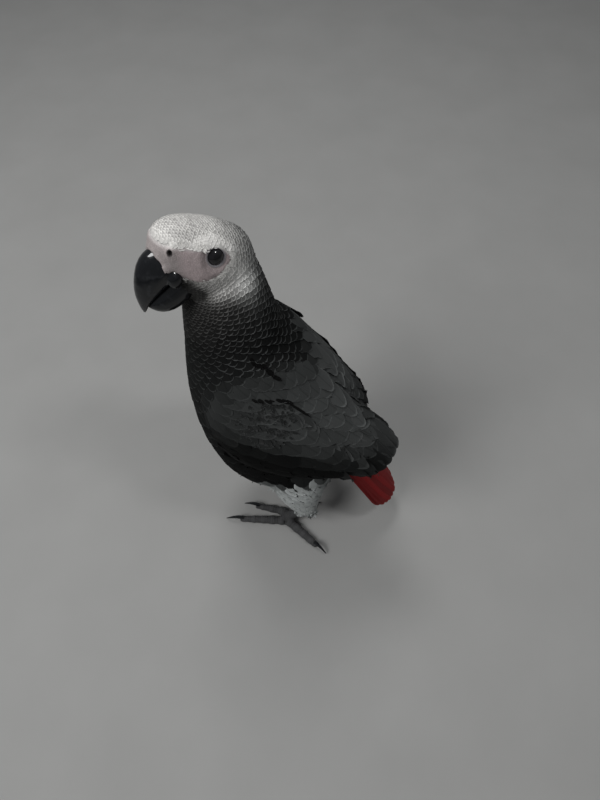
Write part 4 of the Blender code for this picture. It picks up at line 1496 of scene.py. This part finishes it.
def make_eye(side_name, side):
    bm = bmesh.new()
    bmesh.ops.create_uvsphere(bm, u_segments=64, v_segments=40, radius=1.0)
    facing = unit(on_side(EYE_FACING, side))
    turn = Vector((0, 0, 1)).rotation_difference(Vector(facing)).to_matrix()
    mesh = bpy.data.meshes.new(side_name + "_eye_ball")
    ball = on_side(EYE_MIDDLE, side)
    around = []
    for vert in bm.verts:
        angle = math.acos(max(-1.0, min(1.0, vert.co.z)))
        around.append(angle)
        swell = 1.0 + 0.045 * math.exp(-(angle / 0.62)**2)
        spot = ball + np.array(turn @ vert.co) * (EYE_RADIUS - 0.05) * swell
        vert.co = Vector(from_head(spot[None])[0] * MM)
    bm.to_mesh(mesh)
    bm.free()
    mesh.shade_smooth()
    ring = mesh.attributes.new("Ring", "FLOAT", "POINT")
    ring.data.foreach_set("value", np.array(around))
    item = new_object(side_name + "_eye_ball", mesh)
    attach(item, BODY)
    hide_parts(side_name + "_eye")
    return item


def eye_material():
    material, tree, shader = plain_material("wet dark eye", 0.5, Coat_Weight=1.0, Coat_Roughness=0.02,
                                            Specular_IOR_Level=0.05)
    ring = attribute(tree, "Ring", "Fac")
    iris = smooth_mask(tree, ring, PUPIL_REACH - 0.03, PUPIL_REACH + 0.03)
    rim = smooth_mask(tree, ring, IRIS_REACH - 0.12, IRIS_REACH + 0.02)
    place = add(tree, "ShaderNodeTexCoord").outputs["Object"]
    fleck = noise(tree, place, 900.0, 4.0)
    brown = mix_colours(tree, fleck, (0.0025, 0.0025, 0.004, 1), (0.006, 0.0055, 0.006, 1))
    colour = mix_colours(tree, iris, (0.001, 0.001, 0.0015, 1), brown)
    feed(tree, shader.inputs["Base Color"], mix_colours(tree, rim, colour, (0.002, 0.002, 0.003, 1)))
    return material


EYE = eye_material()
for side_name, side in SIDES.items():
    make_eye(side_name, side).data.materials.append(EYE)

# %% [markdown]
# ## Bill and claws
# Both are horn over bone: smooth, black and glossy, with a dusting of pale wear. The bill's solids
# are remeshed finely and smoothed, and a rounded lobe closes the upper bill's rear corner where it
# meets the gape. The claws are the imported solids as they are, with the horn in their own slots.

# %% Bill
BILL_VOXEL = 0.45
LOBE_PLACE, LOBE_SIZE = np.array([10.4, -25.6, -1.4]), np.array([3.2, 4.3, 5.3])


def ball_arrays(place, size):
    """Points and faces of an ellipsoid in head coordinates."""
    bm = bmesh.new()
    bmesh.ops.create_icosphere(bm, subdivisions=3, radius=1.0)
    points = np.array([v.co[:] for v in bm.verts]) * size + place
    faces = [[v.index for v in f.verts] for f in bm.faces]
    bm.free()
    return from_head(points), faces


def make_bill(node, lobes, grow, rounds):
    points, faces, _ = solid_arrays([node], grow)
    for place in lobes:
        more, more_faces = ball_arrays(place, LOBE_SIZE)
        faces += [[len(points) + i for i in f] for f in more_faces]
        points = np.vstack([points, more])
    mesh = voxel_mesh(points, faces, BILL_VOXEL)
    co, edges = arrays(mesh)
    co = relaxed(co, edges, 0.5, rounds)
    mesh.vertices.foreach_set("co", (co * MM).ravel())
    mesh.update()
    mesh.shade_smooth()
    item = new_object(node + "_horn", mesh)
    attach(item, BODY)
    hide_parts(node)
    return item


def horn_material(name, scale):
    material, tree, shader = plain_material(name, 0.25, Specular_IOR_Level=0.1, Coat_Weight=0.8,
                                            Coat_Roughness=0.06)
    place = add(tree, "ShaderNodeTexCoord").outputs["Object"]
    cloud = noise(tree, place, scale, 5.0)
    worn = smooth_mask(tree, cloud, 0.52, 0.78)
    feed(tree, shader.inputs["Base Color"],
         mix_colours(tree, worn, (0.0035, 0.004, 0.005, 1), (0.014, 0.015, 0.017, 1)))
    feed(tree, shader.inputs["Roughness"], calc(tree, "MULTIPLY_ADD", worn, 0.20, 0.32))
    scratch = noise(tree, place, scale * 9.0, 3.0)
    bump(tree, shader, calc(tree, "MULTIPLY_ADD", scratch, 0.2, cloud), 0.03 * MM, 0.4)
    return material


HORN = horn_material("black horn", 260.0)
CLAW_HORN = horn_material("claw horn", 500.0)
lobes = [on_side(LOBE_PLACE, side) for side in SIDES.values()]
upper_bill = make_bill("upper_bill", lobes, 0.05, 10)
lower_bill = make_bill("lower_bill", [], 0.55, 5)
for piece in (upper_bill, lower_bill):
    piece.data.materials.append(HORN)
    print(piece.name, len(piece.data.polygons), "faces")

claws = [node for name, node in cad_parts.items() if "claw" in name]
for node in claws:
    for slot in node.material_slots:
        slot.material = CLAW_HORN
print("claws with horn:", len(claws))

# %% [markdown]
# ## Floor and light
# The bird stands on a plain pale floor. Two soft lamps light it, one overhead and one ahead on its
# left, and leave no highlights. A small lamp behind the head draws the glint in the eye. A fourth one
# shows only as a reflection, the bright patch on the bill.

# %% Floor
def floor_material():
    material, tree, shader = plain_material("matt floor", 0.85)
    place = add(tree, "ShaderNodeTexCoord").outputs["Object"]
    feed(tree, shader.inputs["Base Color"],
         mix_colours(tree, noise(tree, place, 14.0, 4.0), (0.215, 0.215, 0.21, 1), (0.25, 0.25, 0.245, 1)))
    return material


FLOOR_SIZE = 6.0
bpy.ops.mesh.primitive_grid_add(x_subdivisions=8, y_subdivisions=8, size=FLOOR_SIZE)
floor = bpy.context.object
floor.name = "floor"
floor.data.materials.append(floor_material())

# %% Light
def area_light(name, place, aim, size, power):
    data = bpy.data.lights.new(name, "AREA")
    data.shape = "DISK"
    data.size = size
    data.energy = power
    lamp = bpy.data.objects.new(name, data)
    bpy.context.scene.collection.objects.link(lamp)
    lamp.location = place
    lamp.rotation_euler = (Vector(aim) - Vector(place)).to_track_quat("-Z", "Y").to_euler()
    return lamp


overhead = area_light("overhead", (-0.50, -0.32, 1.30), (0, 0, 0.15), 0.42, 7.0)
overhead.visible_glossy = False
shine = area_light("shine", (-0.24, -0.40, 1.36), (0, 0, 0.25), 0.5, 9.0)
shine.visible_diffuse = False
area_light("back window", (0.07, 0.48, 1.10), (0, -0.05, 0.26), 0.16, 2.5)
front = area_light("front window", (0.75, -0.78, 1.20), (0, -0.03, 0.20), 0.8, 19.0)
front.visible_glossy = False
world = bpy.data.worlds.new("room")
world.use_nodes = True
world.node_tree.nodes["Background"].inputs["Color"].default_value = (0.78, 0.80, 0.82, 1.0)
world.node_tree.nodes["Background"].inputs["Strength"].default_value = 0.22
bpy.context.scene.world = world
bpy.context.scene.view_settings.view_transform = "Standard"
